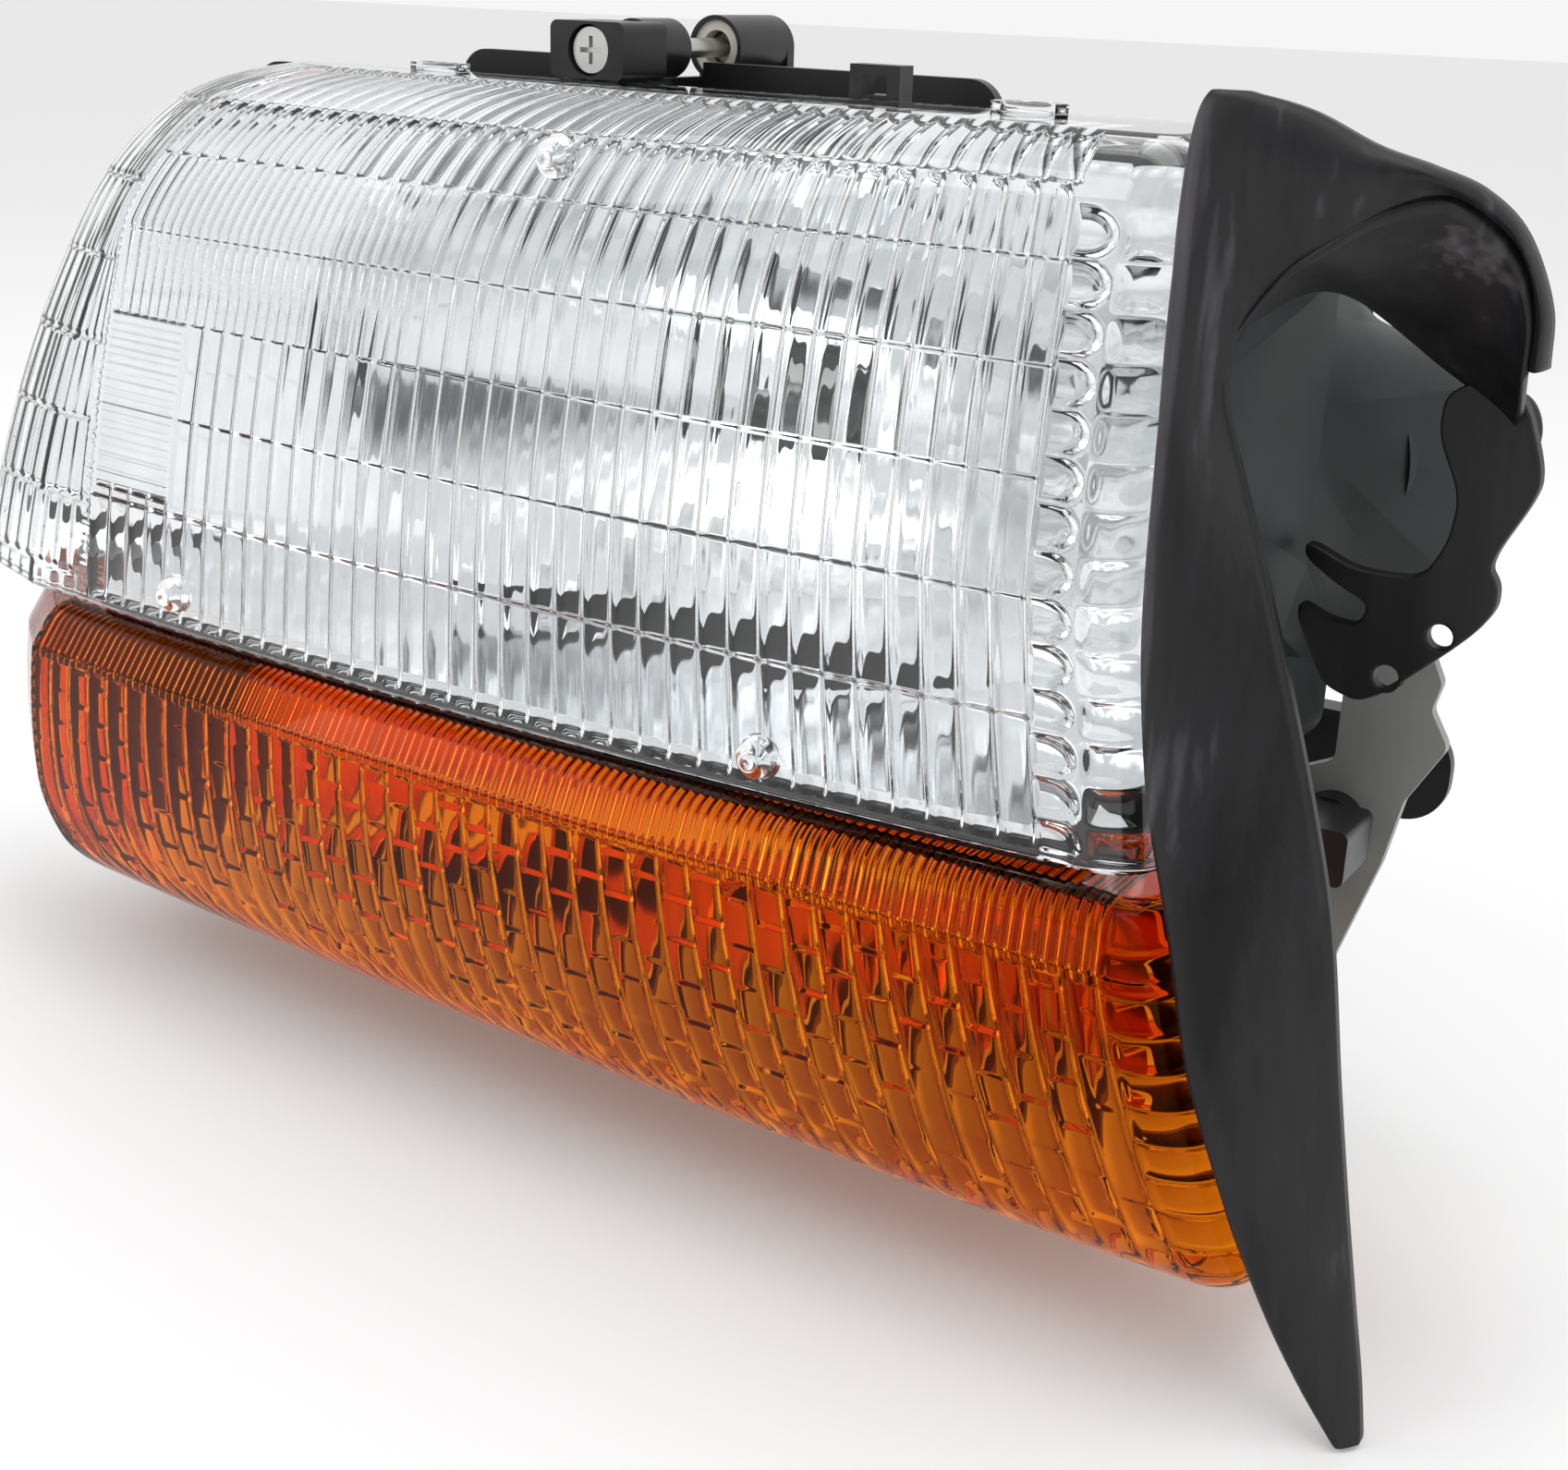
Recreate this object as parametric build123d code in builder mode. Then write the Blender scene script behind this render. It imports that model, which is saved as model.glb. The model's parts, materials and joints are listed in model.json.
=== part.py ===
"""Right-hand combination headlamp: clear headlamp over an amber turn lamp, on its aiming carrier.

Row frame, in mm: +X inboard (towards the grille), -Y forwards, +Z up.
The origin is midway between the two bolts of the carrier's top rail, on the rail's rear face.
"""
from build123d import *
import os
from math import cos, sin, sqrt, radians

os.makedirs("parts", exist_ok=True)
pieces = {}

# ---------------------------------------------------------------- driving dimensions
WALL = 2.6                    # moulded wall of the lenses and housings

LENS_TOP, LENS_BOTTOM = 12.0, -164.0
LENS_MID = -70.0              # height at which the lens front is nearest to plumb
LENS_BACK = -45.0             # rear edge of the clear lens
LENS_WALL_X = 188.0           # inboard side wall of the clear lens
FRONT_DATUM_X = 160.0         # inboard end of the fluted front
FRONT_DATUM_Y = -120.0
SHOULDER_R = 52.0             # round at the lens's top outboard shoulder
SHOULDER_WIDEN = 1.15
WRAP_SPREAD = 1.15            # how far the outboard wrap runs out for each mm that it runs back

TURN_TOP, TURN_BOTTOM = -167.8, -264.0
TURN_MID = -215.0
TURN_BACK = -58.0             # rear edge of the amber lens
TURN_CORNER_X = -214.0        # outboard corner of the amber lens's front
TURN_RIM_X = TURN_CORNER_X - 50
LEDGE_RUN, LEDGE_DROP = 9.0, 14.0   # slope of the ledge along the amber lens's top

HOUSING_REAR = 12.0           # outside of the headlamp housing's rear wall
TURN_HOUSING_REAR = 8.0

BULB_X, BULB_Z = 22.0, -83.0
NECK_R, NECK_BORE_R = 23.4, 18.0
NECK_END = 24.0

AIM_Y = 30.0                  # plane that holds all three aiming balls
PIVOT_X, PIVOT_Z = -31.0, -180.0
VERTICAL_Z = 20.5             # vertical adjuster, straight above the pivot
HORIZONTAL_X = 207.0          # horizontal adjuster, level with the pivot
BALL_R = 6.0
BALL_PLAY = 0.6               # socket clearance that lets the lamp tilt both ways
STEM_R = 3.0

PLATE_FRONT, PLATE_REAR = 48.0, 52.0
RAIL_LEFT, RAIL_RIGHT = -116.0, 84.0
RAIL_BOTTOM, RAIL_TOP = -10.0, 17.0
RAIL_THICK = 4.0
RAIL_BOLT_X = 74.0
BOLT_HOLE_R = 3.4

STRAP_HOLES = [(242.0, -106.0), (230.0, -119.0)]
STRAP_HOLE_R = 3.2
STRAP_FRONT, STRAP_REAR = -57.0, -52.0


# ---------------------------------------------------------------- shared shapes
def lens_front_y(x, z):
    """Front surface of the clear lens: swept back outboard, raked back towards the top."""
    out = FRONT_DATUM_X - x
    up = z - LENS_MID
    sweep = 0.02 * out + 1.4e-4 * out * out
    rake = 0.092 + 0.00095 * out - 1.2e-6 * out * out
    return FRONT_DATUM_Y + sweep + rake * up + 0.00089 * up * up


def lens_corner_x(z):
    """Outboard corner of the clear lens, leaning in and then rounding over towards the top."""
    up = z - LENS_MID
    over = max(0.0, z - (LENS_TOP - SHOULDER_R))
    shoulder = SHOULDER_R - sqrt(max(0.0, SHOULDER_R ** 2 - (0.96 * over) ** 2))
    return -206.0 + 0.29 * up + 0.0009 * up * up + SHOULDER_WIDEN * shoulder


def turn_front_y(x, z):
    """Front surface of the amber lens, slightly bulged at mid height, with a sloping ledge at the top."""
    out = FRONT_DATUM_X - x
    bulge = 7.0 * (1 - ((z - TURN_MID) / 50.0) ** 2)
    ledge = LEDGE_RUN * max(0.0, 1 - (TURN_TOP - z) / LEDGE_DROP)
    return -134.0 + 1.3e-4 * out * out - bulge + ledge


def turn_inboard_x(z):
    """Inboard end of the amber lens, slanting outwards towards the bottom."""
    down = TURN_TOP - z
    return 206.0 + 0.30 * down + 0.0007 * down * down


def edge_round(z, top, bottom, top_r, bottom_r):
    """How far a rounded top or bottom edge draws a section in at height z."""
    drop = 0.0
    if z > top - top_r:
        drop = top_r - sqrt(max(0.0, top_r ** 2 - (z - top + top_r) ** 2))
    if z < bottom + bottom_r:
        drop = bottom_r - sqrt(max(0.0, bottom_r ** 2 - (bottom + bottom_r - z) ** 2))
    return drop


def lens_section(z, inset, back_y):
    """Plan outline of the clear lens at height z, drawn in by inset, closed at back_y."""
    wall_x = LENS_WALL_X - inset + max(0.0, -95.0 - z) * 0.12
    corner_r = 16.0 - min(inset, 10.0)
    start_x = wall_x - corner_r
    corner_x = lens_corner_x(z) + inset
    xs = [start_x, 95.0, 0.0, -95.0, corner_x]
    front = [(x, lens_front_y(x, z) + inset) for x in xs]
    corner_y = front[0][1] + corner_r
    side_y = front[-1][1]
    with BuildSketch(Plane.XY.offset(z)) as section:
        with BuildLine():
            Line((wall_x, back_y), (wall_x, corner_y))
            mid = (start_x + corner_r * sin(radians(45)), corner_y - corner_r * cos(radians(45)))
            ThreePointArc((wall_x, corner_y), mid, front[0])
            Spline(*front)
            depth = back_y - side_y
            rim_x = corner_x - WRAP_SPREAD * depth
            Spline(front[-1], (corner_x - 0.7 * depth, side_y + 0.3 * depth), (rim_x, back_y))
            Line((rim_x, back_y), (wall_x, back_y))
        make_face()
    return section.sketch


def turn_section(z, inset, back_y):
    """Plan outline of the amber lens at height z."""
    end_x = turn_inboard_x(z) - inset
    corner_r = 18.0 - min(inset, 10.0)
    start_x = end_x - corner_r
    low = max(0.0, TURN_BOTTOM + 36.0 - z)
    lower_corner = 36.0 - sqrt(max(0.0, 36.0 ** 2 - low ** 2))
    outer_x = TURN_CORNER_X + inset + lower_corner
    xs = [start_x, 95.0, 0.0, -95.0, outer_x]
    front = [(x, turn_front_y(x, z) + inset) for x in xs]
    corner_y = front[0][1] + corner_r
    with BuildSketch(Plane.XY.offset(z)) as section:
        with BuildLine():
            Line((end_x, back_y), (end_x, corner_y))
            mid = (start_x + corner_r * sin(radians(45)), corner_y - corner_r * cos(radians(45)))
            ThreePointArc((end_x, corner_y), mid, front[0])
            Spline(*front)
            Spline(front[-1], (outer_x - 33, front[-1][1] + 27), (outer_x - 50, back_y))
            Line((outer_x - 50, back_y), (end_x, back_y))
        make_face()
    return section.sketch


def box(x0, x1, y0, y1, z0, z1, mode=Mode.ADD):
    """A block between two corners, inside the current part."""
    with Locations(((x0 + x1) / 2, (y0 + y1) / 2, (z0 + z1) / 2)):
        Box(x1 - x0, y1 - y0, z1 - z0, mode=mode)


def rod(x, z, y0, y1, radius, mode=Mode.ADD):
    """A cylinder along Y, inside the current part."""
    with Locations((x, (y0 + y1) / 2, z)):
        Cylinder(radius, y1 - y0, rotation=(90, 0, 0), mode=mode)


def shell_section(y, top, bottom, inboard_x, outboard, corner_r, inset=0.0):
    """Outline facing forwards at depth y; outboard holds the side's x at its top, middle and bottom."""
    top_z, bottom_z = top - inset, bottom + inset
    in_x = inboard_x - inset
    out_top, out_mid, out_bottom = [x + inset for x in outboard]
    with BuildSketch(Plane.XZ.offset(-y)) as section:
        with BuildLine():
            Line((out_top, top_z), (in_x, top_z))
            Line((in_x, top_z), (in_x, bottom_z))
            Line((in_x, bottom_z), (out_bottom, bottom_z))
            Spline((out_bottom, bottom_z), (out_mid, (top_z + bottom_z) / 2), (out_top, top_z))
        make_face()
        fillet(section.vertices(), corner_r)
    return section.sketch


def outline(plane, points, rounding=0.0):
    """A closed outline with straight sides and equally rounded corners."""
    with BuildSketch(plane) as section:
        with BuildLine():
            Polyline(*points, close=True)
        make_face()
        if rounding:
            fillet(section.vertices(), rounding)
    return section.sketch


# ---------------------------------------------------------------- clear headlamp lens
LENS_LEVELS = [LENS_BOTTOM, -135.0, -100.0, LENS_MID, -40.0, -14.0, 0.0, 8.0, LENS_TOP]
LENS_TOP_R = 15.0
NUB_PLACES = [(-4.0, -6.0), (-143.0, -151.0), (86.0, -153.0)]
LOOP_PLACES = [-84.0, 117.0]


def lens_solid(inset, back_y, mode=Mode.ADD):
    """The clear lens's outer form, drawn in all round by inset."""
    sections = []
    for level in LENS_LEVELS:
        z = max(min(level, LENS_TOP - inset), LENS_BOTTOM + inset)
        drawn_in = edge_round(z, LENS_TOP + 1 - inset, LENS_BOTTOM, LENS_TOP_R - inset, 1.0)
        sections.append(lens_section(z, inset + drawn_in, back_y))
    loft(sections, ruled=True, mode=mode)


with BuildPart() as headlamp_lens:
    lens_solid(0.0, LENS_BACK)
    lens_solid(WALL, LENS_BACK + 5, mode=Mode.SUBTRACT)
    for nub_x, nub_z in NUB_PLACES:
        face_y = lens_front_y(nub_x, nub_z)
        rod(nub_x, nub_z, face_y - 3.5, face_y + 2, 5.5)
        rod(nub_x, nub_z, face_y - 6.5, face_y + 2, 3.2)
    for loop_x in LOOP_PLACES:
        with BuildSketch(Plane.XY.offset(LENS_TOP - 1)):
            with Locations((loop_x, -56)):
                SlotOverall(26, 11)
                SlotOverall(17, 4.5, mode=Mode.SUBTRACT)
        extrude(amount=4)
pieces["headlamp_lens"] = headlamp_lens

# ---------------------------------------------------------------- foam seal behind the lens
def lens_rim_x(z):
    """Outboard edge of the clear lens along its rear rim."""
    corner_x = lens_corner_x(z)
    return corner_x - WRAP_SPREAD * (LENS_BACK - lens_front_y(corner_x, z))


RIM_TOP, RIM_BOTTOM = LENS_TOP - 1.0, LENS_BOTTOM + 1.0
RIM_OUTBOARD = [lens_rim_x(RIM_TOP) + 8, lens_rim_x(LENS_MID) + 7, lens_rim_x(RIM_BOTTOM) + 7]
SEAL_DEPTH = 2.4
SEAL_FRONT = LENS_BACK + 0.1

with BuildPart() as lens_seal:
    ring_y = SEAL_FRONT
    extrude(shell_section(ring_y, RIM_TOP, RIM_BOTTOM, LENS_WALL_X - 1, RIM_OUTBOARD, 10), amount=-SEAL_DEPTH)
    inner = shell_section(ring_y, RIM_TOP, RIM_BOTTOM, LENS_WALL_X - 1, RIM_OUTBOARD, 6, inset=8)
    extrude(inner, amount=-SEAL_DEPTH, mode=Mode.SUBTRACT)
pieces["lens_seal"] = lens_seal

# ---------------------------------------------------------------- headlamp housing
HOUSING_FRONT = SEAL_FRONT + SEAL_DEPTH + 0.1
WAIST_Y = -6.0
WAIST_OUT = [-196.0, -218.0, -240.0]
REAR_OUT = [-150.0, -168.0, -185.0]
FUNNEL = Plane(origin=(206, -16, -70), x_dir=(0, 0, 1), z_dir=(0.66, 0.75, 0.1))
FUNNEL_LENGTH = 42.0


def housing_form(inset, mode=Mode.ADD):
    """The housing's outer form, drawn in by inset: a full rim that waists down to the rear wall."""
    front_y = HOUSING_FRONT - inset / 10
    rear_y = HOUSING_REAR - inset
    sections = [
        shell_section(front_y, RIM_TOP, RIM_BOTTOM, LENS_WALL_X - 1, RIM_OUTBOARD, 10, inset),
        shell_section(WAIST_Y, -22, -158, 200, WAIST_OUT, 10, inset),
        shell_section(rear_y, -34, -152, 182, REAR_OUT, 10, inset),
    ]
    loft(sections, ruled=True, mode=mode)


# Outlines of the inboard flank, as (depth, points facing forwards), flaring from the lens's side to the rear.
FLANK = [
    (-104.0, [(186, 0), (192.5, -2), (192.5, -40), (192.5, -90), (193.5, -110), (186, -114)]),
    (-48.0, [(186, -2), (203.5, -22), (203.5, -60), (203.5, -96), (199, -116), (186, -120)]),
    (-10.0, [(160, -20), (236, -50), (238, -78), (235, -106), (222, -118), (160, -155)]),
    (12.0, [(150, -36), (181, -42), (181, -70), (181, -110), (181, -138), (150, -150)]),
]


def flank_form(inset, mode=Mode.ADD):
    """The flank's outer form, drawn in from its inboard side by inset."""
    sections = []
    for y, points in FLANK:
        inner = [(x - 1.3 * inset, z - inset if z > -75 else z + inset) for x, z in points]
        sections.append(outline(Plane.XZ.offset(inset / 2 - y), inner))
    loft(sections, ruled=True, mode=mode)


with BuildPart() as headlamp_housing:
    flank_form(0.0)
    box(-300, LENS_WALL_X + 3.9, -130, HOUSING_FRONT, -200, 40, mode=Mode.SUBTRACT)
    housing_form(0.0)
    with BuildSketch(FUNNEL):
        Circle(21)
    with BuildSketch(FUNNEL.offset(FUNNEL_LENGTH * 0.45)):
        Circle(14)
    with BuildSketch(FUNNEL.offset(FUNNEL_LENGTH)):
        Circle(9)
    loft()
    rod(BULB_X, BULB_Z, HOUSING_REAR - 1, NECK_END, NECK_R)
    housing_form(WALL, mode=Mode.SUBTRACT)
    flank_form(WALL, mode=Mode.SUBTRACT)
    rod(BULB_X, BULB_Z, 0, NECK_END, NECK_BORE_R, mode=Mode.SUBTRACT)
    with BuildSketch(FUNNEL.offset(8)):
        Circle(6)
    extrude(amount=FUNNEL_LENGTH, mode=Mode.SUBTRACT)
    web = [(-41, 8), (-41, 12.2), (-25, 12.2), (-25, 11.4), (-14, 11.4), (-14, -17)]
    extrude(outline(Plane.YZ.offset(PIVOT_X - 7), web), amount=14)
pieces["headlamp_housing"] = headlamp_housing

# ---------------------------------------------------------------- vent cap on the funnel's neck
with BuildPart() as vent_cap:
    with BuildSketch(FUNNEL.offset(FUNNEL_LENGTH)):
        Circle(9.5)
    extrude(amount=6)
    with BuildSketch(FUNNEL.offset(FUNNEL_LENGTH - 12)):
        Circle(6)
        Circle(3, mode=Mode.SUBTRACT)
    extrude(amount=12)
    fillet(vent_cap.faces().sort_by(Axis((206, -16, -70), (0.66, 0.75, 0.1)))[-1].edges(), 2)
pieces["vent_cap"] = vent_cap

# ---------------------------------------------------------------- headlamp reflector
REFLECTOR_VERTEX = 7.0
REFLECTOR_RIM = -53.0
REFLECTOR_FOCUS = 30.0
REFLECTOR_WIDEN = 1.85
REFLECTOR_SKIN = 2.2
REFLECTOR_HOLE_R = 18.4
FLANGE_BACK = -46.0
APRON_GAP = 9.0               # from the lens's front back to the floor panel below the bowl
APRON_Z = LENS_BOTTOM + 4.2


def bowl_radius(y, vertex):
    """Radius of the reflector's parabola at depth y."""
    return sqrt(4 * REFLECTOR_FOCUS * (vertex - y))


def bowl_form(grow, mode=Mode.ADD):
    """The bowl as a stack of ellipses that follow the parabola, grown outwards by grow."""
    sections = []
    for y in [REFLECTOR_VERTEX - 0.5, 5.0, 0.0, -8.0, -20.0, -36.0, REFLECTOR_RIM]:
        radius = bowl_radius(y, REFLECTOR_VERTEX)
        with BuildSketch(Plane.XZ.offset(-y - grow * 0.6)) as section:
            with Locations((BULB_X, BULB_Z)):
                Ellipse(REFLECTOR_WIDEN * radius + grow, radius + grow)
        sections.append(section.sketch)
    loft(sections, ruled=True, mode=mode)


with BuildPart() as headlamp_reflector:
    bowl_form(REFLECTOR_SKIN)
    box(-120, 168, FLANGE_BACK - REFLECTOR_SKIN, REFLECTOR_VERTEX + 5, -148, -11, mode=Mode.INTERSECT)
    flange = shell_section(FLANGE_BACK, RIM_TOP, RIM_BOTTOM, LENS_WALL_X - 1, RIM_OUTBOARD, 6, inset=8)
    extrude(flange, amount=REFLECTOR_SKIN)
    apron_front = [(x, lens_front_y(x, LENS_BOTTOM) + APRON_GAP) for x in (170, 90, 0, -90, -185)]
    with BuildSketch(Plane.XY.offset(APRON_Z)):
        with BuildLine():
            Spline(*apron_front)
            Polyline(apron_front[-1], (-200, FLANGE_BACK), (170, FLANGE_BACK), apron_front[0])
        make_face()
    extrude(amount=REFLECTOR_SKIN)
    box(-200, 170, FLANGE_BACK - 3, FLANGE_BACK, APRON_Z, RIM_BOTTOM + 10)
    bowl_form(0.0, mode=Mode.SUBTRACT)
    rod(BULB_X, BULB_Z, REFLECTOR_VERTEX - 14, REFLECTOR_VERTEX + 5, REFLECTOR_HOLE_R, mode=Mode.SUBTRACT)
pieces["headlamp_reflector"] = headlamp_reflector

# ---------------------------------------------------------------- headlamp bulb
FLANGE_FRONT, FLANGE_REAR = NECK_END + 0.1, 28.0
CONNECTOR_REAR = 47.0

with BuildPart() as bulb_capsule:
    rod(BULB_X, BULB_Z, -30, 4, 7.5)
    with Locations((BULB_X, -30, BULB_Z)):
        Sphere(7.5)
pieces["bulb_capsule"] = bulb_capsule

with BuildPart() as bulb_collar:
    rod(BULB_X, BULB_Z, 4, 14, 10.5)
    rod(BULB_X, BULB_Z, 4, 6, 13.0)
pieces["bulb_collar"] = bulb_collar

with BuildPart() as bulb_seat_ring:
    rod(BULB_X, BULB_Z, 2, 8, 17.6)
    rod(BULB_X, BULB_Z, 2, 8, 13.4, mode=Mode.SUBTRACT)
    rod(BULB_X, BULB_Z, 7, 8, 17.6)
    rod(BULB_X, BULB_Z, 7, 8, 10.6, mode=Mode.SUBTRACT)
pieces["bulb_seat_ring"] = bulb_seat_ring

with BuildPart() as bulb_base:
    rod(BULB_X, BULB_Z, 14, FLANGE_FRONT, 15.0)
    rod(BULB_X, BULB_Z, FLANGE_FRONT, FLANGE_REAR, 19.0)
    box(BULB_X - 13, BULB_X + 13, 26, CONNECTOR_REAR, BULB_Z - 9, BULB_Z + 9)
    box(BULB_X - 11, BULB_X + 11, 31, CONNECTOR_REAR, BULB_Z - 7, BULB_Z + 7, mode=Mode.SUBTRACT)
    box(BULB_X - 4, BULB_X + 4, 36, 42, BULB_Z + 9, BULB_Z + 11)
pieces["bulb_base"] = bulb_base

with BuildPart() as bulb_terminals:
    for blade_x in (-7, 0, 7):
        box(BULB_X + blade_x - 0.6, BULB_X + blade_x + 0.6, 31, 41, BULB_Z - 3, BULB_Z + 3)
pieces["bulb_terminals"] = bulb_terminals

with BuildPart() as bulb_o_ring:
    with Locations((BULB_X, 19.5, BULB_Z)):
        Torus(16.5, 1.45, rotation=(90, 0, 0))
pieces["bulb_o_ring"] = bulb_o_ring

RING_OUTER_R = 27.0
with BuildPart() as bulb_retaining_ring:
    rod(BULB_X, BULB_Z, 17, FLANGE_REAR + 3.5, RING_OUTER_R)
    rod(BULB_X, BULB_Z, 17, FLANGE_REAR + 0.3, NECK_R + 0.4, mode=Mode.SUBTRACT)
    rod(BULB_X, BULB_Z, 17, FLANGE_REAR + 4, 17.0, mode=Mode.SUBTRACT)
    for step in range(6):
        angle = radians(60 * step + 30)
        lug_x = BULB_X + (RING_OUTER_R + 0.6) * cos(angle)
        lug_z = BULB_Z + (RING_OUTER_R + 0.6) * sin(angle)
        rod(lug_x, lug_z, 18, FLANGE_REAR + 3.5, 2.4)
pieces["bulb_retaining_ring"] = bulb_retaining_ring

# ---------------------------------------------------------------- amber turn lamp
TURN_LEVELS = [TURN_BOTTOM, -261.5, -256.0, -248.0, -236.0, -222.0, -200.0, -182.0, -172.0, -169.0, TURN_TOP]


def turn_form(inset, back_y, mode=Mode.ADD):
    """The amber lens's outer form, drawn in all round by inset."""
    sections = []
    levels = {max(min(level, TURN_TOP - inset), TURN_BOTTOM + inset) for level in TURN_LEVELS}
    for z in sorted(levels):
        drawn_in = edge_round(z, TURN_TOP + 1 - inset, TURN_BOTTOM + inset - 1, 6.0, 14.0)
        sections.append(turn_section(z, inset + drawn_in, back_y))
    loft(sections, ruled=True, mode=mode)


with BuildPart() as turn_signal_lens:
    turn_form(0.0, TURN_BACK)
    turn_form(WALL, TURN_BACK + 5, mode=Mode.SUBTRACT)
pieces["turn_signal_lens"] = turn_signal_lens

TURN_FRONT = TURN_BACK + 0.3
TURN_RIM_OUT = [TURN_RIM_X + 2, TURN_RIM_X + 2, TURN_RIM_X + 26]
TURN_WAIST_OUT = [TURN_RIM_X + 12, TURN_RIM_X + 12, TURN_RIM_X + 34]
TURN_REAR_OUT = [-212.0, -212.0, -200.0]
FLANGE_PLATE = [(205, -124), (226, -122), (232, -134), (230, -142), (236, -152), (226, -170), (222, -190),
                (210, -229), (196, -240), (180, -240), (180, -174), (205, -162)]
FLANGE_Y = -6.0
FLANGE_THICK = 4.0
BARREL_R = 9.0
TURN_BULB = (80.0, -222.0)
MARKER_BULB = (-168.0, -216.0)
SOCKET_BORE_R = 13.3
LUG_ANGLES = [0, 120, 240]
LUG_AT_R, LUG_R = 12.6, 2.4
RELEASE_TURN = 45             # twist that lines a holder's lugs up with the bore's notches
PIVOT_BLOCK_REAR = 41.5
LINER_R = 10.0
JOIN_X = [-140.0, 75.0, 140.0]


def turn_housing_form(inset, mode=Mode.ADD):
    """The turn lamp housing's outer form, drawn in by inset."""
    sections = [
        shell_section(TURN_FRONT - inset / 10, TURN_TOP - 1, TURN_BOTTOM + 2, 204, TURN_RIM_OUT, 8, inset),
        shell_section(-30, TURN_TOP - 1, -260, 188.5, TURN_WAIST_OUT, 8, inset),
        shell_section(TURN_HOUSING_REAR - inset, -172, -246, 186, TURN_REAR_OUT, 8, inset),
    ]
    loft(sections, ruled=True, mode=mode)


with BuildPart() as turn_signal_housing:
    turn_housing_form(0.0)
    extrude(outline(Plane.XZ.offset(-FLANGE_Y), FLANGE_PLATE, 4), amount=-FLANGE_THICK)
    turn_housing_form(WALL, mode=Mode.SUBTRACT)
    rod(HORIZONTAL_X, PIVOT_Z, FLANGE_Y, FLANGE_Y + FLANGE_THICK, BARREL_R, mode=Mode.SUBTRACT)
    for socket_x, socket_z in (TURN_BULB, MARKER_BULB):
        rod(socket_x, socket_z, 0, TURN_HOUSING_REAR, SOCKET_BORE_R, mode=Mode.SUBTRACT)
        for angle in LUG_ANGLES:
            notch_x = socket_x + LUG_AT_R * cos(radians(angle - RELEASE_TURN))
            notch_z = socket_z + LUG_AT_R * sin(radians(angle - RELEASE_TURN))
            rod(notch_x, notch_z, 0, TURN_HOUSING_REAR, LUG_R + 0.3, mode=Mode.SUBTRACT)
    box(PIVOT_X - 15, PIVOT_X + 15, 6, PIVOT_BLOCK_REAR, PIVOT_Z - 16, PIVOT_Z + 14)
    with Locations((PIVOT_X, AIM_Y, PIVOT_Z + 0.9)):
        Cylinder(LINER_R + 0.05, 28, mode=Mode.SUBTRACT)
    rod(PIVOT_X, PIVOT_Z, AIM_Y, PIVOT_BLOCK_REAR, 5.6, mode=Mode.SUBTRACT)
    for join_x in JOIN_X:
        box(join_x - 6, join_x + 6, 4, 15.3, -184, -174)
        box(join_x - 6, join_x + 6, HOUSING_REAR + 0.1, 15.3, -184, -138)
        rod(join_x, -144, HOUSING_REAR, 15.3, 2.0, mode=Mode.SUBTRACT)
pieces["turn_signal_housing"] = turn_signal_housing

# ---------------------------------------------------------------- turn lamp reflector
with BuildPart() as turn_reflector:
    tray_front, tray_rear = -56.0, -8.0
    for inset, mode in ((0.0, Mode.ADD), (2.0, Mode.SUBTRACT)):
        tray = [
            shell_section(tray_front - inset / 10, -172, -256, 180, [-150, -150, -145], 7, inset),
            shell_section(tray_rear - inset, -186, -242, 120, [40, 40, 42], 7, inset),
        ]
        loft(tray, ruled=True, mode=mode)
    rod(*TURN_BULB, tray_rear - 4, tray_rear, 11, mode=Mode.SUBTRACT)
pieces["turn_reflector"] = turn_reflector


# ---------------------------------------------------------------- bulb holders of the turn lamp
def bulb_holder(prefix, place, globe_r, flange_r):
    """A wedge bulb in a quarter-turn socket with its gasket, behind the turn lamp housing."""
    x, z = place
    body_r = SOCKET_BORE_R - 0.3
    seat = TURN_HOUSING_REAR + 0.1
    with BuildPart() as glass:
        rod(x, z, -26, -12, globe_r * 0.75)
        with Locations((x, -28, z)):
            Sphere(globe_r)
    with BuildPart() as base:
        rod(x, z, -12, -3, globe_r * 0.72)
    with BuildPart() as gasket:
        rod(x, z, seat, seat + 1.5, flange_r)
        rod(x, z, seat, seat + 1.5, body_r, mode=Mode.SUBTRACT)
    with BuildPart() as socket:
        rod(x, z, -3, seat + 1.5, body_r)
        rod(x, z, seat + 1.5, seat + 4.5, flange_r)
        for angle in LUG_ANGLES:
            lug_x = x + LUG_AT_R * cos(radians(angle))
            lug_z = z + LUG_AT_R * sin(radians(angle))
            rod(lug_x, lug_z, 2.2, 4.6, LUG_R)
        box(x - 10, x + 10, seat + 4.5, seat + 24, z - 7, z + 7)
        box(x - 8, x + 8, seat + 10, seat + 24, z - 5, z + 5, mode=Mode.SUBTRACT)
        box(x - flange_r, x + flange_r, seat + 4.5, seat + 8, z - 1.5, z + 1.5)
        for blade_x in (-4, 4):
            box(x + blade_x - 0.5, x + blade_x + 0.5, seat + 10, seat + 19, z - 2.5, z + 2.5)
    pieces[f"{prefix}_bulb"] = glass
    pieces[f"{prefix}_bulb_base"] = base
    pieces[f"{prefix}_socket_gasket"] = gasket
    pieces[f"{prefix}_bulb_socket"] = socket


bulb_holder("turn_signal", TURN_BULB, 11.5, 19.0)
bulb_holder("side_marker", MARKER_BULB, 8.0, 17.0)

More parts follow.
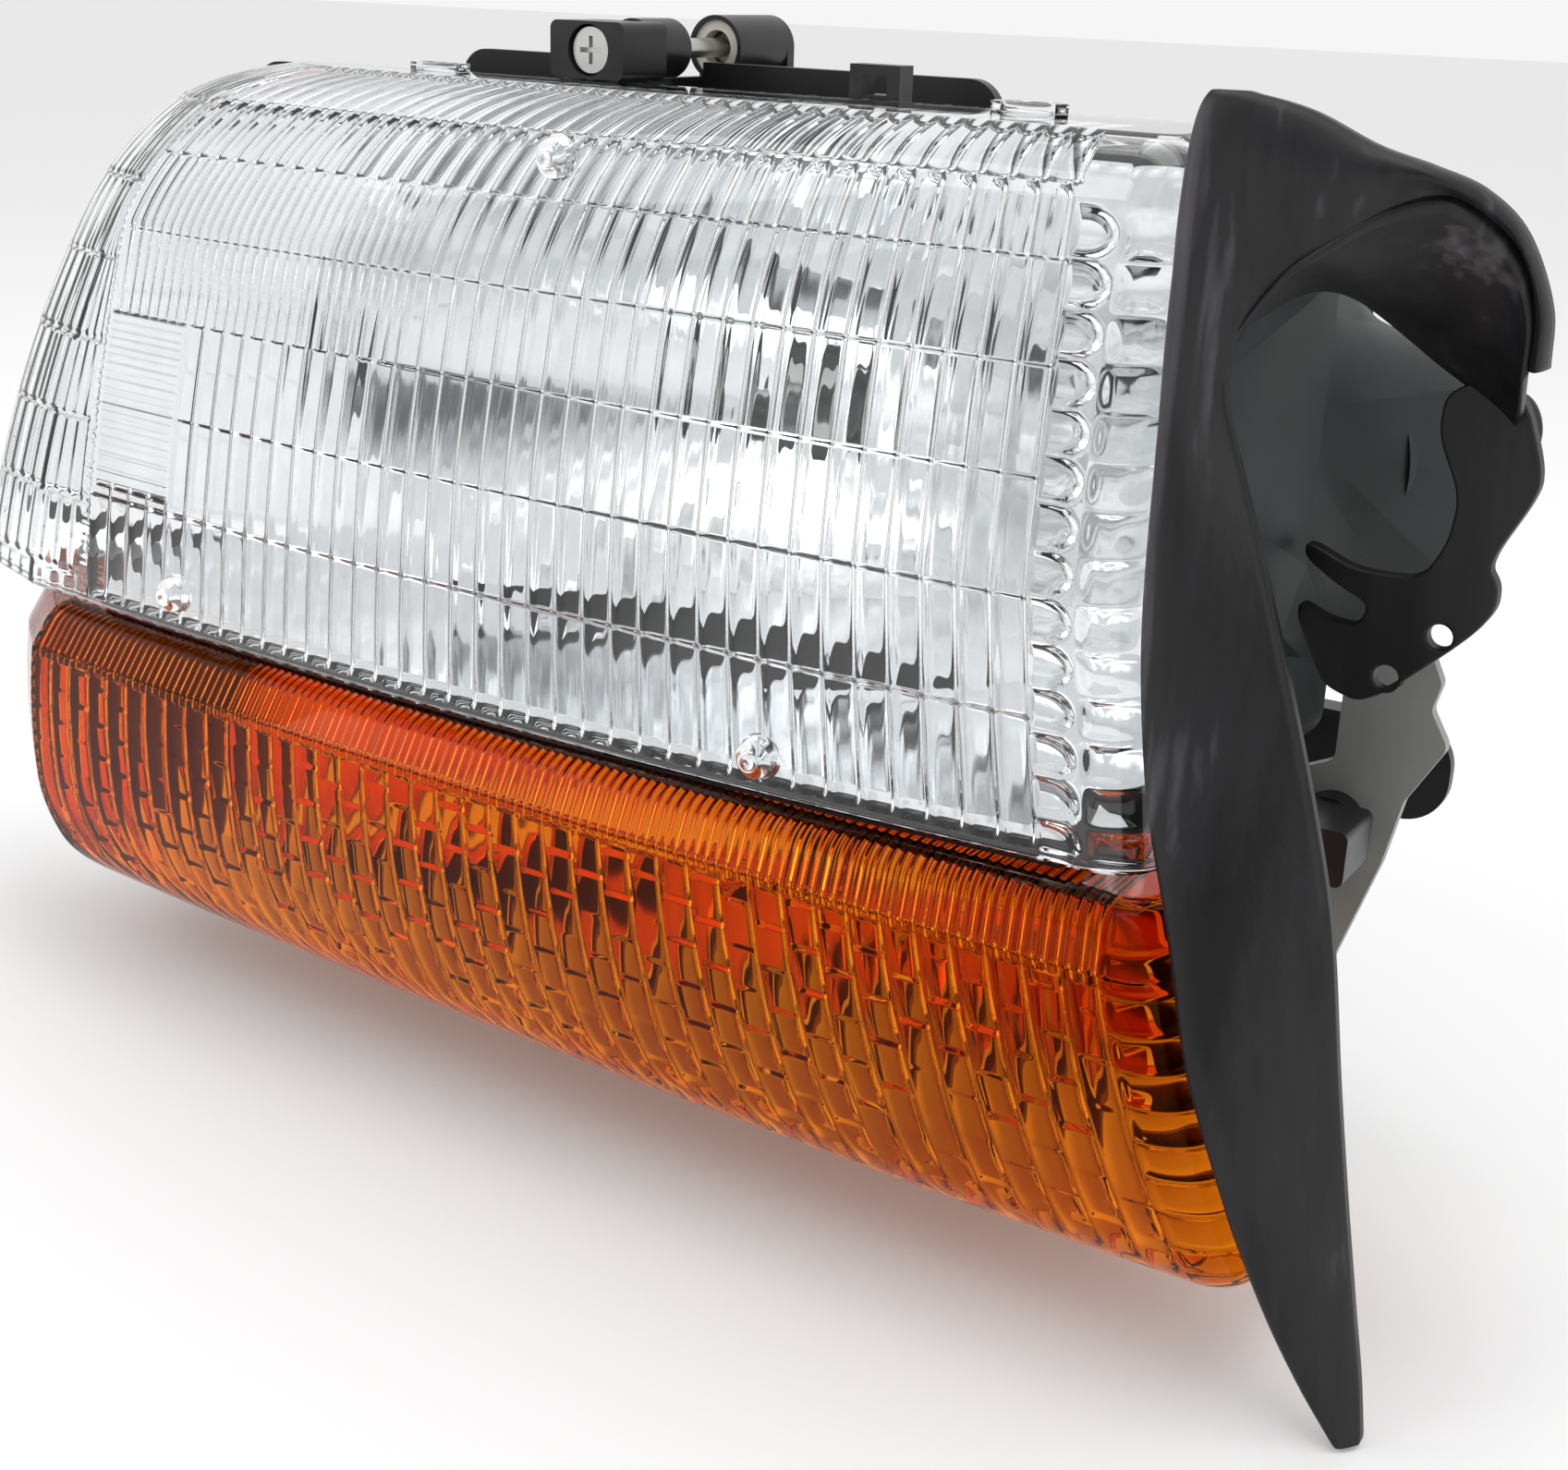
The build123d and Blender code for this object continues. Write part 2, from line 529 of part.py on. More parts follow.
# ---------------------------------------------------------------- gasket between the two lamps
with BuildPart() as lamp_gasket:
    gasket_z = TURN_TOP + 0.1
    gasket_front = [(x, lens_front_y(x, LENS_BOTTOM) + 7) for x in (170, 90, 0, -90, -190)]
    with BuildSketch(Plane.XY.offset(gasket_z)):
        with BuildLine():
            Spline(*gasket_front)
            Polyline(gasket_front[-1], (-236, -62), (184, -62), gasket_front[0])
        make_face()
    extrude(amount=LENS_BOTTOM - 0.1 - gasket_z)
pieces["lamp_gasket"] = lamp_gasket


# ---------------------------------------------------------------- aiming adjusters
ADJUSTER_LENGTH = 41.0
CASE_DEPTH = 22.0
CUP_R = 8.6                   # outside of the balls' nylon sockets
BOSS_R = 10.0


def adjuster(prefix, x, z, front_y):
    """An in-line aiming adjuster: a fixed body, a turning screw, and a ball stud that it drives."""
    end_y = front_y + ADJUSTER_LENGTH
    case_y = front_y + CASE_DEPTH
    with BuildPart() as body:
        box(x - 14, x + 13, front_y, case_y, z - 8.2, z + 8.2)
        fillet(body.edges().filter_by(Axis.Y), 2.5)
        rod(x, z, case_y, end_y, BARREL_R)
        rod(x, z, front_y, front_y + 6, 7.4, mode=Mode.SUBTRACT)
        rod(x, z, front_y, end_y, 5.06, mode=Mode.SUBTRACT)
    with BuildPart() as screw:
        rod(x, z, front_y + 1.5, front_y + 5.6, 6.6)
        rod(x, z, front_y + 5.6, end_y - 0.5, 5.0)
        rod(x, z, front_y + 8, end_y - 0.5, STEM_R + 0.05, mode=Mode.SUBTRACT)
        box(x - 0.7, x + 0.7, front_y, front_y + 3.6, z - 4, z + 4, mode=Mode.SUBTRACT)
        box(x - 4, x + 4, front_y, front_y + 3.6, z - 0.7, z + 0.7, mode=Mode.SUBTRACT)
    with BuildPart() as stud:
        rod(x, z, front_y + 19.5, AIM_Y, STEM_R)
        with Locations((x, AIM_Y, z)):
            Sphere(BALL_R)
    with BuildPart() as liner:
        rod(x, z, 21, 40, CUP_R)
        with Locations((x, AIM_Y, z)):
            Sphere(BALL_R + BALL_PLAY, mode=Mode.SUBTRACT)
        rod(x, z, 21, AIM_Y, 5.4, mode=Mode.SUBTRACT)
    pieces[f"{prefix}_adjuster_body"] = body
    pieces[f"{prefix}_adjuster_screw"] = screw
    pieces[f"{prefix}_ball_stud"] = stud
    pieces[f"{prefix}_ball_socket"] = liner


adjuster("vertical", PIVOT_X, VERTICAL_Z, -47.0)
adjuster("horizontal", HORIZONTAL_X, PIVOT_Z, -35.0)

# ---------------------------------------------------------------- fixed pivot of the lamp
with BuildPart() as pivot_socket:
    with Locations((PIVOT_X, AIM_Y, PIVOT_Z)):
        Cylinder(LINER_R, 26)
        Sphere(BALL_R + 0.05, mode=Mode.SUBTRACT)
    rod(PIVOT_X, PIVOT_Z, AIM_Y, AIM_Y + 12, 4.6, mode=Mode.SUBTRACT)
pieces["pivot_socket"] = pivot_socket

with BuildPart() as pivot_ball_stud:
    with Locations((PIVOT_X, AIM_Y, PIVOT_Z)):
        Sphere(BALL_R)
    rod(PIVOT_X, PIVOT_Z, AIM_Y, PLATE_REAR + 8, STEM_R)
    rod(PIVOT_X, PIVOT_Z, PLATE_FRONT - 2, PLATE_FRONT, 7.0)
pieces["pivot_ball_stud"] = pivot_ball_stud

with BuildPart() as pivot_nut:
    with BuildSketch(Plane.XZ.offset(-PLATE_REAR)):
        with Locations((PIVOT_X, PIVOT_Z)):
            RegularPolygon(6.2, 6)
            Circle(STEM_R, mode=Mode.SUBTRACT)
    extrude(amount=-5)
pieces["pivot_nut"] = pivot_nut

# ---------------------------------------------------------------- carrier bracket
UPRIGHT_LEFT, UPRIGHT_RIGHT = -56.0, -6.0
LEG_TOP, LEG_BOTTOM = -164.0, -196.0
LEG_RIGHT = 225.0
RIB = 2.5
RIB_FRONT = 43.0
LOWER_BOLTS = [(60.0, PIVOT_Z), (160.0, PIVOT_Z)]

with BuildPart() as carrier_bracket:
    box(UPRIGHT_LEFT, UPRIGHT_RIGHT, PLATE_FRONT, PLATE_REAR, LEG_BOTTOM, 12)
    box(PIVOT_X - BOSS_R, PIVOT_X + BOSS_R, PLATE_FRONT, PLATE_REAR, 12, VERTICAL_Z)
    box(UPRIGHT_LEFT, LEG_RIGHT, PLATE_FRONT, PLATE_REAR, LEG_BOTTOM, LEG_TOP)
    fillet(carrier_bracket.edges().filter_by(Axis.Y).group_by(Axis.X)[-1], 14)
    box(UPRIGHT_LEFT, LEG_RIGHT - 18, RIB_FRONT, PLATE_FRONT, LEG_BOTTOM, LEG_BOTTOM + RIB)
    box(UPRIGHT_RIGHT - RIB, LEG_RIGHT - 18, RIB_FRONT, PLATE_FRONT, LEG_TOP - RIB, LEG_TOP)
    box(UPRIGHT_LEFT, UPRIGHT_LEFT + RIB, RIB_FRONT, PLATE_FRONT, LEG_BOTTOM, 10)
    box(UPRIGHT_RIGHT - RIB, UPRIGHT_RIGHT, RIB_FRONT, PLATE_FRONT, LEG_TOP, 10)
    for arm_x in (UPRIGHT_LEFT, UPRIGHT_RIGHT - RIB - 1):
        box(arm_x, arm_x + RIB + 1, -1, PLATE_FRONT + 1, RAIL_BOTTOM, 10)
    with BuildSketch(Plane.XZ):
        with Locations(((RAIL_LEFT + RAIL_RIGHT) / 2, (RAIL_BOTTOM + RAIL_TOP) / 2)):
            RectangleRounded(RAIL_RIGHT - RAIL_LEFT, RAIL_TOP - RAIL_BOTTOM, 10)
        with Locations((PIVOT_X, RAIL_TOP)):
            SlotOverall(28, 24, rotation=90, mode=Mode.SUBTRACT)
        with Locations((-RAIL_BOLT_X, 0), (RAIL_BOLT_X, 0)):
            Circle(BOLT_HOLE_R, mode=Mode.SUBTRACT)
    extrude(amount=RAIL_THICK)
    for boss_x, boss_z in ((PIVOT_X, VERTICAL_Z), (HORIZONTAL_X, PIVOT_Z)):
        rod(boss_x, boss_z, 20, PLATE_REAR, BOSS_R)
        rod(boss_x, boss_z, 20, 40, CUP_R, mode=Mode.SUBTRACT)
    rod(PIVOT_X, PIVOT_Z, PLATE_FRONT, PLATE_REAR, STEM_R, mode=Mode.SUBTRACT)
    for bolt_x, bolt_z in LOWER_BOLTS:
        rod(bolt_x, bolt_z, PLATE_FRONT, PLATE_REAR, BOLT_HOLE_R, mode=Mode.SUBTRACT)
pieces["carrier_bracket"] = carrier_bracket

# ---------------------------------------------------------------- small fixings
with BuildPart() as housing_screws:
    for join_x in JOIN_X:
        rod(join_x, -144, HOUSING_REAR, 15.3, 2.0)
        rod(join_x, -144, 15.3, 18.3, 4.2)
        box(join_x - 0.5, join_x + 0.5, 17, 18.4, -147, -141, mode=Mode.SUBTRACT)
pieces["housing_screws"] = housing_screws

CLIP_X = 64.0
with BuildPart() as top_clip:
    clip_side = [(-41.5, 10.4), (-34, 3.7), (-34, 21), (-41.5, 21)]
    extrude(outline(Plane.YZ.offset(CLIP_X - 8), clip_side), amount=16)
    box(CLIP_X - 4, CLIP_X + 4, -43, -33, 13, 18, mode=Mode.SUBTRACT)
pieces["top_clip"] = top_clip

# ---------------------------------------------------------------- inboard rubber seal
# Each level gives the height, then x and y of the blade's outboard edge and of its inboard edge.
BLADE_LEVELS = [
    (-36, 188.6, -122, 202, -115),
    (-45, 188.6, -122, 201, -113),
    (-71, 188.8, -122, 210, -112),
    (-105, 190, -122, 222, -112),
    (-139, 196, -125, 233, -112),
    (-166, 206, -131, 241, -114),
    (-203, 218, -137, 248, -116),
    (-232, 230, -137, 254, -118),
    (-259, 242, -134, 260, -120),
    (-279, 252, -130, 264, -120),
    (-296, 262, -126, 267, -121),
]
RUBBER = 4.0


CROWN = [(0.0, 0.0), (0.2, 3.2), (0.45, 4.4), (0.7, 3.6), (0.88, 1.8), (1.0, 0.0)]


def blade_section(z, left_x, left_y, right_x, right_y):
    """Plan section of the seal's blade, crowned forwards between its two edges."""
    front = []
    for along, rise in CROWN:
        front.append((left_x + along * (right_x - left_x), left_y + along * (right_y - left_y) - rise))
    back = [(x, y + RUBBER) for x, y in front]
    return outline(Plane.XY.offset(z), front + back[::-1])


# The brow over the blade, facing forwards: its top edge outwards, then its lower edge back.
BROW = [
    (188.6, -45), (188.6, -18), (190, 12), (194, 24), (204, 23), (215, 19.5), (228, 14), (240, 10),
    (250, 5), (258, -3), (263.5, -18), (264, -33), (259.5, -34), (259, -20), (255, -8), (250, -1),
    (243, 3), (236, 1.5), (230, -2), (222, -8), (214, -15), (208, -22), (204.5, -30), (201, -43),
]
BROW_PLAN = [(186, -124), (205, -121), (228, -114), (243, -109), (252, -102), (259, -92), (266, -80)]
# The roof runs back from the brow's lower edge: a point of that edge, then x and z where it ends.
ROOF = [
    ((207, -120.3, -20), (206, -20)),
    ((214, -118.5, -12), (212, -23)),
    ((222, -116, -5), (219, -27)),
    ((233, -112.3, 2.5), (227, -32)),
    ((243, -109, 5), (234, -36.5)),
    ((251, -102.9, 1.5), (241, -40.5)),
    ((256, -96.3, -5.5), (246, -43.5)),
    ((260.5, -90.3, -18), (250, -46)),
    ((262.5, -85.7, -33), (254, -49)),
]
ROOF_START, ROOF_END = -122.0, STRAP_FRONT + 1
STRAP = [
    (255, -42), (260.3, -60), (260.7, -67), (250.5, -86), (254.6, -91), (254.7, -97), (249.6, -105),
    (225.7, -128), (214.3, -124.6), (211.2, -119.5), (205, -108), (205, -103), (213, -106.5),
    (221, -107), (223.5, -101), (214, -97), (205, -91.5), (205, -87), (218.8, -92.8), (235.2, -92.3),
    (240.7, -82), (241.8, -70), (234.8, -56.3), (235.1, -46), (243, -41),
]


def roof_section(y):
    """The roof's section at depth y, on straight lines from the brow's edge to its end."""
    points = []
    for (edge_x, edge_y, edge_z), (end_x, end_z) in ROOF:
        share = (y - edge_y) / (ROOF_END - edge_y)
        points.append((edge_x + share * (end_x - edge_x), edge_z + share * (end_z - edge_z)))
    under = [(x - RUBBER * 0.5, z - RUBBER) for x, z in points]
    return outline(Plane.XZ.offset(-y), points + under[::-1])


with BuildPart() as inboard_seal:
    loft([blade_section(*level) for level in BLADE_LEVELS], ruled=True)
    loft([roof_section(ROOF_START), roof_section(ROOF_END)], ruled=True)
    before_brow = BROW_PLAN + [(290, -80), (290, -160), (186, -160)]
    with Locations((0, 0, -150)):
        add(extrude(outline(Plane.XY, before_brow), amount=200, mode=Mode.PRIVATE), mode=Mode.SUBTRACT)
    with BuildPart(mode=Mode.PRIVATE) as brow:
        extrude(outline(Plane.XZ.offset(140), BROW), amount=-70)
        behind = [(x, y + RUBBER) for x, y in BROW_PLAN]
        extrude(outline(Plane.XY.offset(-60), BROW_PLAN + behind[::-1]), amount=120, mode=Mode.INTERSECT)
    add(brow.part)
    extrude(outline(Plane.XZ.offset(-STRAP_FRONT), STRAP), amount=-(STRAP_REAR - STRAP_FRONT))
    box(188.6, 191.4, -121, -62, -92, 16)
    for hole_x, hole_z in STRAP_HOLES:
        rod(hole_x, hole_z, STRAP_FRONT, STRAP_REAR, STRAP_HOLE_R, mode=Mode.SUBTRACT)
pieces["inboard_seal"] = inboard_seal

# ---------------------------------------------------------------- write every piece
for name, piece in pieces.items():
    piece.part.label = name
    export_step(piece.part, f"parts/{name}.step")
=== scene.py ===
"""Car headlight assembly: fluted clear lens over an amber turn lamp, rubber seal, housings and carrier."""
import json
import math

import bpy
import numpy as np
from mathutils import Matrix, Vector


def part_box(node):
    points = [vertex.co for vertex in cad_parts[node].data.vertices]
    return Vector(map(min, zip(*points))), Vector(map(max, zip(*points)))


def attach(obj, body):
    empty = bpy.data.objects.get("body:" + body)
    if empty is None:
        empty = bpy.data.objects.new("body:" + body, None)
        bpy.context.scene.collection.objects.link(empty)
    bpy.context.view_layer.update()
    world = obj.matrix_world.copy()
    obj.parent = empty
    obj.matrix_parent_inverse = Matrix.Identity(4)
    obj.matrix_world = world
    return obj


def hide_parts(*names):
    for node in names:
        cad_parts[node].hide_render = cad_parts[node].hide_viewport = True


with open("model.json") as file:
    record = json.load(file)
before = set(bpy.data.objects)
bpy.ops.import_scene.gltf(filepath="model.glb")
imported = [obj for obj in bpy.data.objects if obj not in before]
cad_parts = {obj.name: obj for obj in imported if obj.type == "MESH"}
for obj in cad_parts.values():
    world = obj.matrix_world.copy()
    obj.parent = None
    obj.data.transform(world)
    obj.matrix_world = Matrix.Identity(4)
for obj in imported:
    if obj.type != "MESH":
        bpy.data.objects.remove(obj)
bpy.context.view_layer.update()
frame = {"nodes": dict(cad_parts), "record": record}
MM = 0.001


# ---------------------------------------------------------------- sizes and places, in mm
def mm_box(node):
    """Lowest and highest corner of a CAD node, in millimetres."""
    low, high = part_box(node)
    return np.array(low) / MM, np.array(high) / MM


lens_low, lens_high = mm_box("headlamp_lens")
turn_low, turn_high = mm_box("turn_signal_lens")
seal_low, seal_high = mm_box("inboard_seal")

WALL = 2.6                                  # wall of both lenses, without their relief

# Outside form of the clear lens. Its front is measured outwards from FRONT_X.
LENS_TOP, LENS_BOTTOM, LENS_BACK, LENS_MID = 12.0, lens_low[2], -45.0, -70.0
FRONT_X, FRONT_Y = 160.0, -120.0
FRONT_SLOPE, FRONT_BOW, FRONT_CROWN = 0.02, 1.4e-4, 0.00089
RAKE_LEAST, RAKE_GAIN, RAKE_FADE = 0.092, 0.00095, 1.2e-6
WALL_KNEE_Z, WALL_SLANT = -95.0, 0.12       # below the knee the inboard wall slants outwards
LENS_WALL_X = lens_high[0] - WALL_SLANT * (WALL_KNEE_Z - LENS_BOTTOM)
CORNER_R, CORNER_INSET_MOST = 16.0, 10.0
TOP_R, TOP_SPILL, BOTTOM_R = 15.0, 0.6, 1.0
CORNER_X, CORNER_RAKE, CORNER_BOW = -206.0, 0.29, 0.0009
SHOULDER_R, SHOULDER_WIDEN, SHOULDER_SQUASH = 52.0, 1.15, 0.96
CORNER_LINE_X, LINE_TO_CORNER = -192.0, 4.0
WRAP_SPREAD, WRAP_MIDDLE_OUT, WRAP_MIDDLE_BACK = 1.15, 0.7, 0.3

# Steps of the grids that the lenses are made of.
SIDE_STEPS, ARC_STEPS, COLUMN_STEPS, PER_FLUTE, EDGE_STEPS, WRAP_STEPS = 10, 16, 22, 14, 22, 60
ROWS_PER_BAND, CREST_ROWS, ROOF_ROWS, SEAM_GAP = 30, 14, 20, 0.2

# Relief inside the clear lens: seven bands of flutes, counted from the bottom, part at the seams.
SEAMS = [LENS_BOTTOM, -127.0, -97.0, -67.5, -41.0, -16.4, 1.5]
FLUTES, FOOT_BAND, BULLET_BAND, ROD_BAND = 36, 0, 5, 6
ROD_DEPTH, ROD_HALF = 2.8, 0.94
BULLET_DEPTH, BULLET_HALF, BULLET_HEAD = 3.4, 0.66, 4.5
PANE_DEPTH, PANE_LEAN = 1.9, 0.6
FOOT_DEPTH, FOOT_ROUND, FOOT_MARGIN = 2.3, 6.0, 2.5
FINE_FLUTES, FINE_BANDS = 22, (3, 4)        # from this flute on, these bands have flutes half as wide
PATCH_FLUTES, PATCH_BOTTOM, PATCH_TOP, PATCH_PITCH, PATCH_DEPTH = 4, -123.0, -67.5, 2.6, 1.0
COLUMN_WIDTH, COLUMN_TOP, D_PITCH = 13.0, -4.0, 11.4
D_DEPTH, D_REACH_LEAST, D_REACH_GAIN = 3.2, 0.35, 0.6
RIDGE_DEPTH, RIDGE_RISE, RIDGE_END, RIDGE_FALL = 2.4, 0.25, 2.6, 0.8
BEAD_PITCH, BEAD_DEPTH, BEAD_STEPS, BEAD_END = 2.8, 1.1, (1, 2, 3), 5
WRAP_BAND, WRAP_LINES, WRAP_SHIFT, WRAP_LINE_DEPTH = 26.0, 6, 3, 0.45
WRAP_SEAM_DEPTH, WRAP_SEAM_SHARE = 0.8, 0.05
ROOF_FADE_ROWS = 9.0                        # rows of the roof over which the flutes run out

# Aiming nubs and loop tabs on the clear lens.
NUB_PLACES = [(-4.0, -6.0), (-143.0, -151.0), (86.0, -153.0)]
NUB_PROFILE = [
    (6.5, 0.4), (5.6, -0.6), (5.5, -3.2), (5.2, -3.6), (3.4, -3.7), (3.2, -6.0), (2.6, -6.6), (1.6, -6.7),
    (1.3, -5.6), (0.05, -5.5),
]
NUB_STEPS, LOOP_STEPS = 40, 48
LOOP_PLACES, LOOP_Y, LOOP_LIFT = (-84.0, 117.0), -52.0, 0.1
LOOP_SECTION = [(11.0, 5.5, 0.0), (11.0, 5.5, 2.4), (7.0, 3.0, 2.4), (7.0, 3.0, 0.0)]

# Outside form of the amber lens.
TURN_TOP, TURN_BOTTOM, TURN_MID, TURN_BACK = turn_high[2], turn_low[2], -215.0, turn_high[1]
TURN_FRONT_Y, TURN_BOW, TURN_CROWN, TURN_CROWN_HALF = -134.0, 1.3e-4, 6.85, 50.0
LEDGE_RUN, LEDGE_DROP = 9.0, 14.0
TURN_END_X, TURN_END_SLANT, TURN_END_BOW = 206.0, 0.30, 0.0007
TURN_CORNER_X, TURN_CORNER_R, TURN_LOWER_R = -214.0, 18.0, 36.0
TURN_WRAP_MIDDLE, TURN_WRAP_OUT = (33.0, 27.0), 50.0
TURN_TOP_R, TURN_BOTTOM_R, TURN_SPILL = 6.0, 14.0, 0.5
TURN_FOOT_ROWS, TURN_FACE_ROWS, TURN_CREST_ROWS, TURN_ROOF_ROWS = 14, 110, 10, 10
TURN_FOOT_START, TURN_FOOT_GAP, TURN_CREST_GAP = 0.12, 0.6, 0.5

# Relief inside the amber lens: ribs under the ledge, leaning bricks on the face, ridges and dots at the ends.
TURN_FLUTES = 40
LEDGE_RIBS, RIB_DEPTH, RIB_LIP, RIB_BELOW, RIB_LIP_ABOVE = 3, 1.2, 1.8, 3.0, 1.0
BRICK, BRICK_STAGGER, BRICK_BASE, BRICK_CROWN = 12.0, 0.31, 0.6, 1.5
BRICK_LEAN_RANGE, BRICK_LEAN_LEAST = 2.6, -0.6
HASH_FLUTE, HASH_COURSE, HASH_GAIN = 12.9898, 78.233, 43758.5453
END_PITCH, END_DEPTH = 9.0, 1.6
DOT_PITCH, DOT_DEPTH = 5.0, 0.5


# ---------------------------------------------------------------- mesh helpers
def mesh_object(name, points, faces, material, smooth=True):
    """A mesh object from points in mm; it rides on the lamp, as every piece made here does."""
    mesh = bpy.data.meshes.new(name)
    mesh.from_pydata([tuple(p) for p in np.asarray(points) * MM], [], faces)
    mesh.update()
    mesh.polygons.foreach_set("use_smooth", [smooth] * len(mesh.polygons))
    mesh.materials.append(material)
    made = bpy.data.objects.new(name, mesh)
    bpy.context.scene.collection.objects.link(made)
    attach(made, "lamp")
    return made


def grid_faces(rows, columns, offset=0, flip=False, wrap=False):
    """Quads of a grid of points stored row by row."""
    quads = []
    last = columns if wrap else columns - 1
    for j in range(rows - 1):
        for i in range(last):
            a = offset + j * columns + i
            b = offset + j * columns + (i + 1) % columns
            c = b + columns
            d = a + columns
            quads.append((a, d, c, b) if flip else (a, b, c, d))
    return quads


def shell_faces(rows, columns):
    """Faces of a closed shell made of an outer grid followed by an inner grid of the same size."""
    count = rows * columns
    faces = grid_faces(rows, columns, flip=True) + grid_faces(rows, columns, count)
    for i in range(columns - 1):
        faces.append((i, i + 1, count + i + 1, count + i))
        a = (rows - 1) * columns + i
        faces.append((a, count + a, count + a + 1, a + 1))
    for j in range(rows - 1):
        a = j * columns
        faces.append((a, count + a, count + a + columns, a + columns))
        b = a + columns - 1
        faces.append((b, b + columns, count + b + columns, count + b))
    return faces


def shell_object(name, outer, inner, material):
    """A closed sheet between two grids of points, with its normals facing outwards."""
    rows, columns = outer.shape[:2]
    points = np.vstack([outer.reshape(-1, 3), inner.reshape(-1, 3)])
    faces = shell_faces(rows, columns)
    corners = points[np.array(faces)]
    first = np.einsum("ij,ij->i", corners[:, 0], np.cross(corners[:, 1], corners[:, 2]))
    second = np.einsum("ij,ij->i", corners[:, 0], np.cross(corners[:, 2], corners[:, 3]))
    if (first + second).sum() < 0:
        faces = [face[::-1] for face in faces]
    return mesh_object(name, points, faces, material)


def grid_normals(points):
    """Unit normals of a grid of points (rows, columns, 3)."""
    along = np.gradient(points, axis=1)
    up = np.gradient(points, axis=0)
    normal = np.cross(along, up)
    length = np.linalg.norm(normal, axis=2, keepdims=True)
    return normal / np.maximum(length, 1e-9)


def catmull(points, count):
    """A smooth curve of count points through the given ones."""
    p = np.asarray(points, float)
    p = np.vstack([2 * p[0] - p[1], p, 2 * p[-1] - p[-2]])
    spans = len(p) - 3
    made = []
    for t in np.linspace(0, spans, count):
        k = min(int(t), spans - 1)
        u = t - k
        a, b, c, d = p[k:k + 4]
        bend = 2 * a - 5 * b + 4 * c - d
        made.append(0.5 * (2 * b + (c - a) * u + bend * u ** 2 + (3 * b - a - 3 * c + d) * u ** 3))
    return np.array(made)


# ---------------------------------------------------------------- materials
def new_material(name):
    """A material with its node tree and its Principled shader."""
    material = bpy.data.materials.new(name)
    material.use_nodes = True
    tree = material.node_tree
    return material, tree, tree.nodes["Principled BSDF"]


def add_noise(tree, scale, detail=4.0, stretch=(1, 1, 1)):
    """A noise texture in object space."""
    place = tree.nodes.new("ShaderNodeTexCoord")
    mapping = tree.nodes.new("ShaderNodeMapping")
    mapping.inputs["Scale"].default_value = stretch
    noise = tree.nodes.new("ShaderNodeTexNoise")
    noise.inputs["Scale"].default_value = scale
    noise.inputs["Detail"].default_value = detail
    tree.links.new(place.outputs["Object"], mapping.inputs["Vector"])
    tree.links.new(mapping.outputs["Vector"], noise.inputs["Vector"])
    return noise.outputs["Fac"]


def add_ramp(tree, source, stops):
    """A colour ramp over a value; stops are (position, colour)."""
    ramp = tree.nodes.new("ShaderNodeValToRGB")
    elements = ramp.color_ramp.elements
    elements[0].position, elements[0].color = stops[0][0], (*stops[0][1], 1)
    elements[1].position, elements[1].color = stops[-1][0], (*stops[-1][1], 1)
    for position, colour in stops[1:-1]:
        middle = elements.new(position)
        middle.color = (*colour, 1)
    tree.links.new(source, ramp.inputs["Fac"])
    return ramp.outputs["Color"]


def add_range(tree, source, low, high):
    """Maps a 0 to 1 value to low to high."""
    change = tree.nodes.new("ShaderNodeMapRange")
    change.inputs["To Min"].default_value = low
    change.inputs["To Max"].default_value = high
    tree.links.new(source, change.inputs["Value"])
    return change.outputs["Result"]


def add_bump(tree, shader, source, strength, distance):
    """A fine bump on a shader."""
    bump = tree.nodes.new("ShaderNodeBump")
    bump.inputs["Strength"].default_value = strength
    bump.inputs["Distance"].default_value = distance
    tree.links.new(source, bump.inputs["Height"])
    tree.links.new(bump.outputs["Normal"], shader.inputs["Normal"])


def plastic(name, dark, light, rough, grain=900.0, bump=0.12):
    """A moulded plastic: faint colour clouds, uneven sheen and a fine grain."""
    material, tree, shader = new_material(name)
    shader.inputs["Specular IOR Level"].default_value = 0.35
    clouds = add_noise(tree, scale=22.0, detail=6.0)
    tree.links.new(add_ramp(tree, clouds, [(0.35, dark), (0.65, light)]), shader.inputs["Base Color"])
    sheen = add_range(tree, add_noise(tree, scale=60.0, detail=5.0), low=rough - 0.08, high=rough + 0.1)
    tree.links.new(sheen, shader.inputs["Roughness"])
    add_bump(tree, shader, add_noise(tree, scale=grain, detail=3.0), strength=bump, distance=0.0002)
    return material


def metal(name, colour, rough_low, rough_high):
    """A metal with uneven polish."""
    material, tree, shader = new_material(name)
    shader.inputs["Metallic"].default_value = 1.0
    shade = tuple(c * 0.86 for c in colour)
    tarnish = add_ramp(tree, add_noise(tree, scale=35.0, detail=5.0), [(0.3, shade), (0.7, colour)])
    polish = add_range(tree, add_noise(tree, scale=400.0), low=rough_low, high=rough_high)
    tree.links.new(tarnish, shader.inputs["Base Color"])
    tree.links.new(polish, shader.inputs["Roughness"])
    return material


def glass(name, low, high, rough, ior, gloss=(1, 1, 1)):
    """A clear moulded plastic with a faint uneven tint from low to high, and flow marks."""
    material, tree, shader = new_material(name)
    shader.inputs["Specular Tint"].default_value = (*gloss, 1)
    shader.inputs["Transmission Weight"].default_value = 1.0
    shader.inputs["IOR"].default_value = ior
    tint = add_ramp(tree, add_noise(tree, scale=14.0, detail=3.0), [(0.3, low), (0.7, high)])
    tree.links.new(tint, shader.inputs["Base Color"])
    haze = add_range(tree, add_noise(tree, scale=30.0, detail=3.0), low=rough, high=rough + 0.03)
    tree.links.new(haze, shader.inputs["Roughness"])
    add_bump(tree, shader, add_noise(tree, scale=45.0, detail=2.0), strength=0.05, distance=0.0004)
    return material


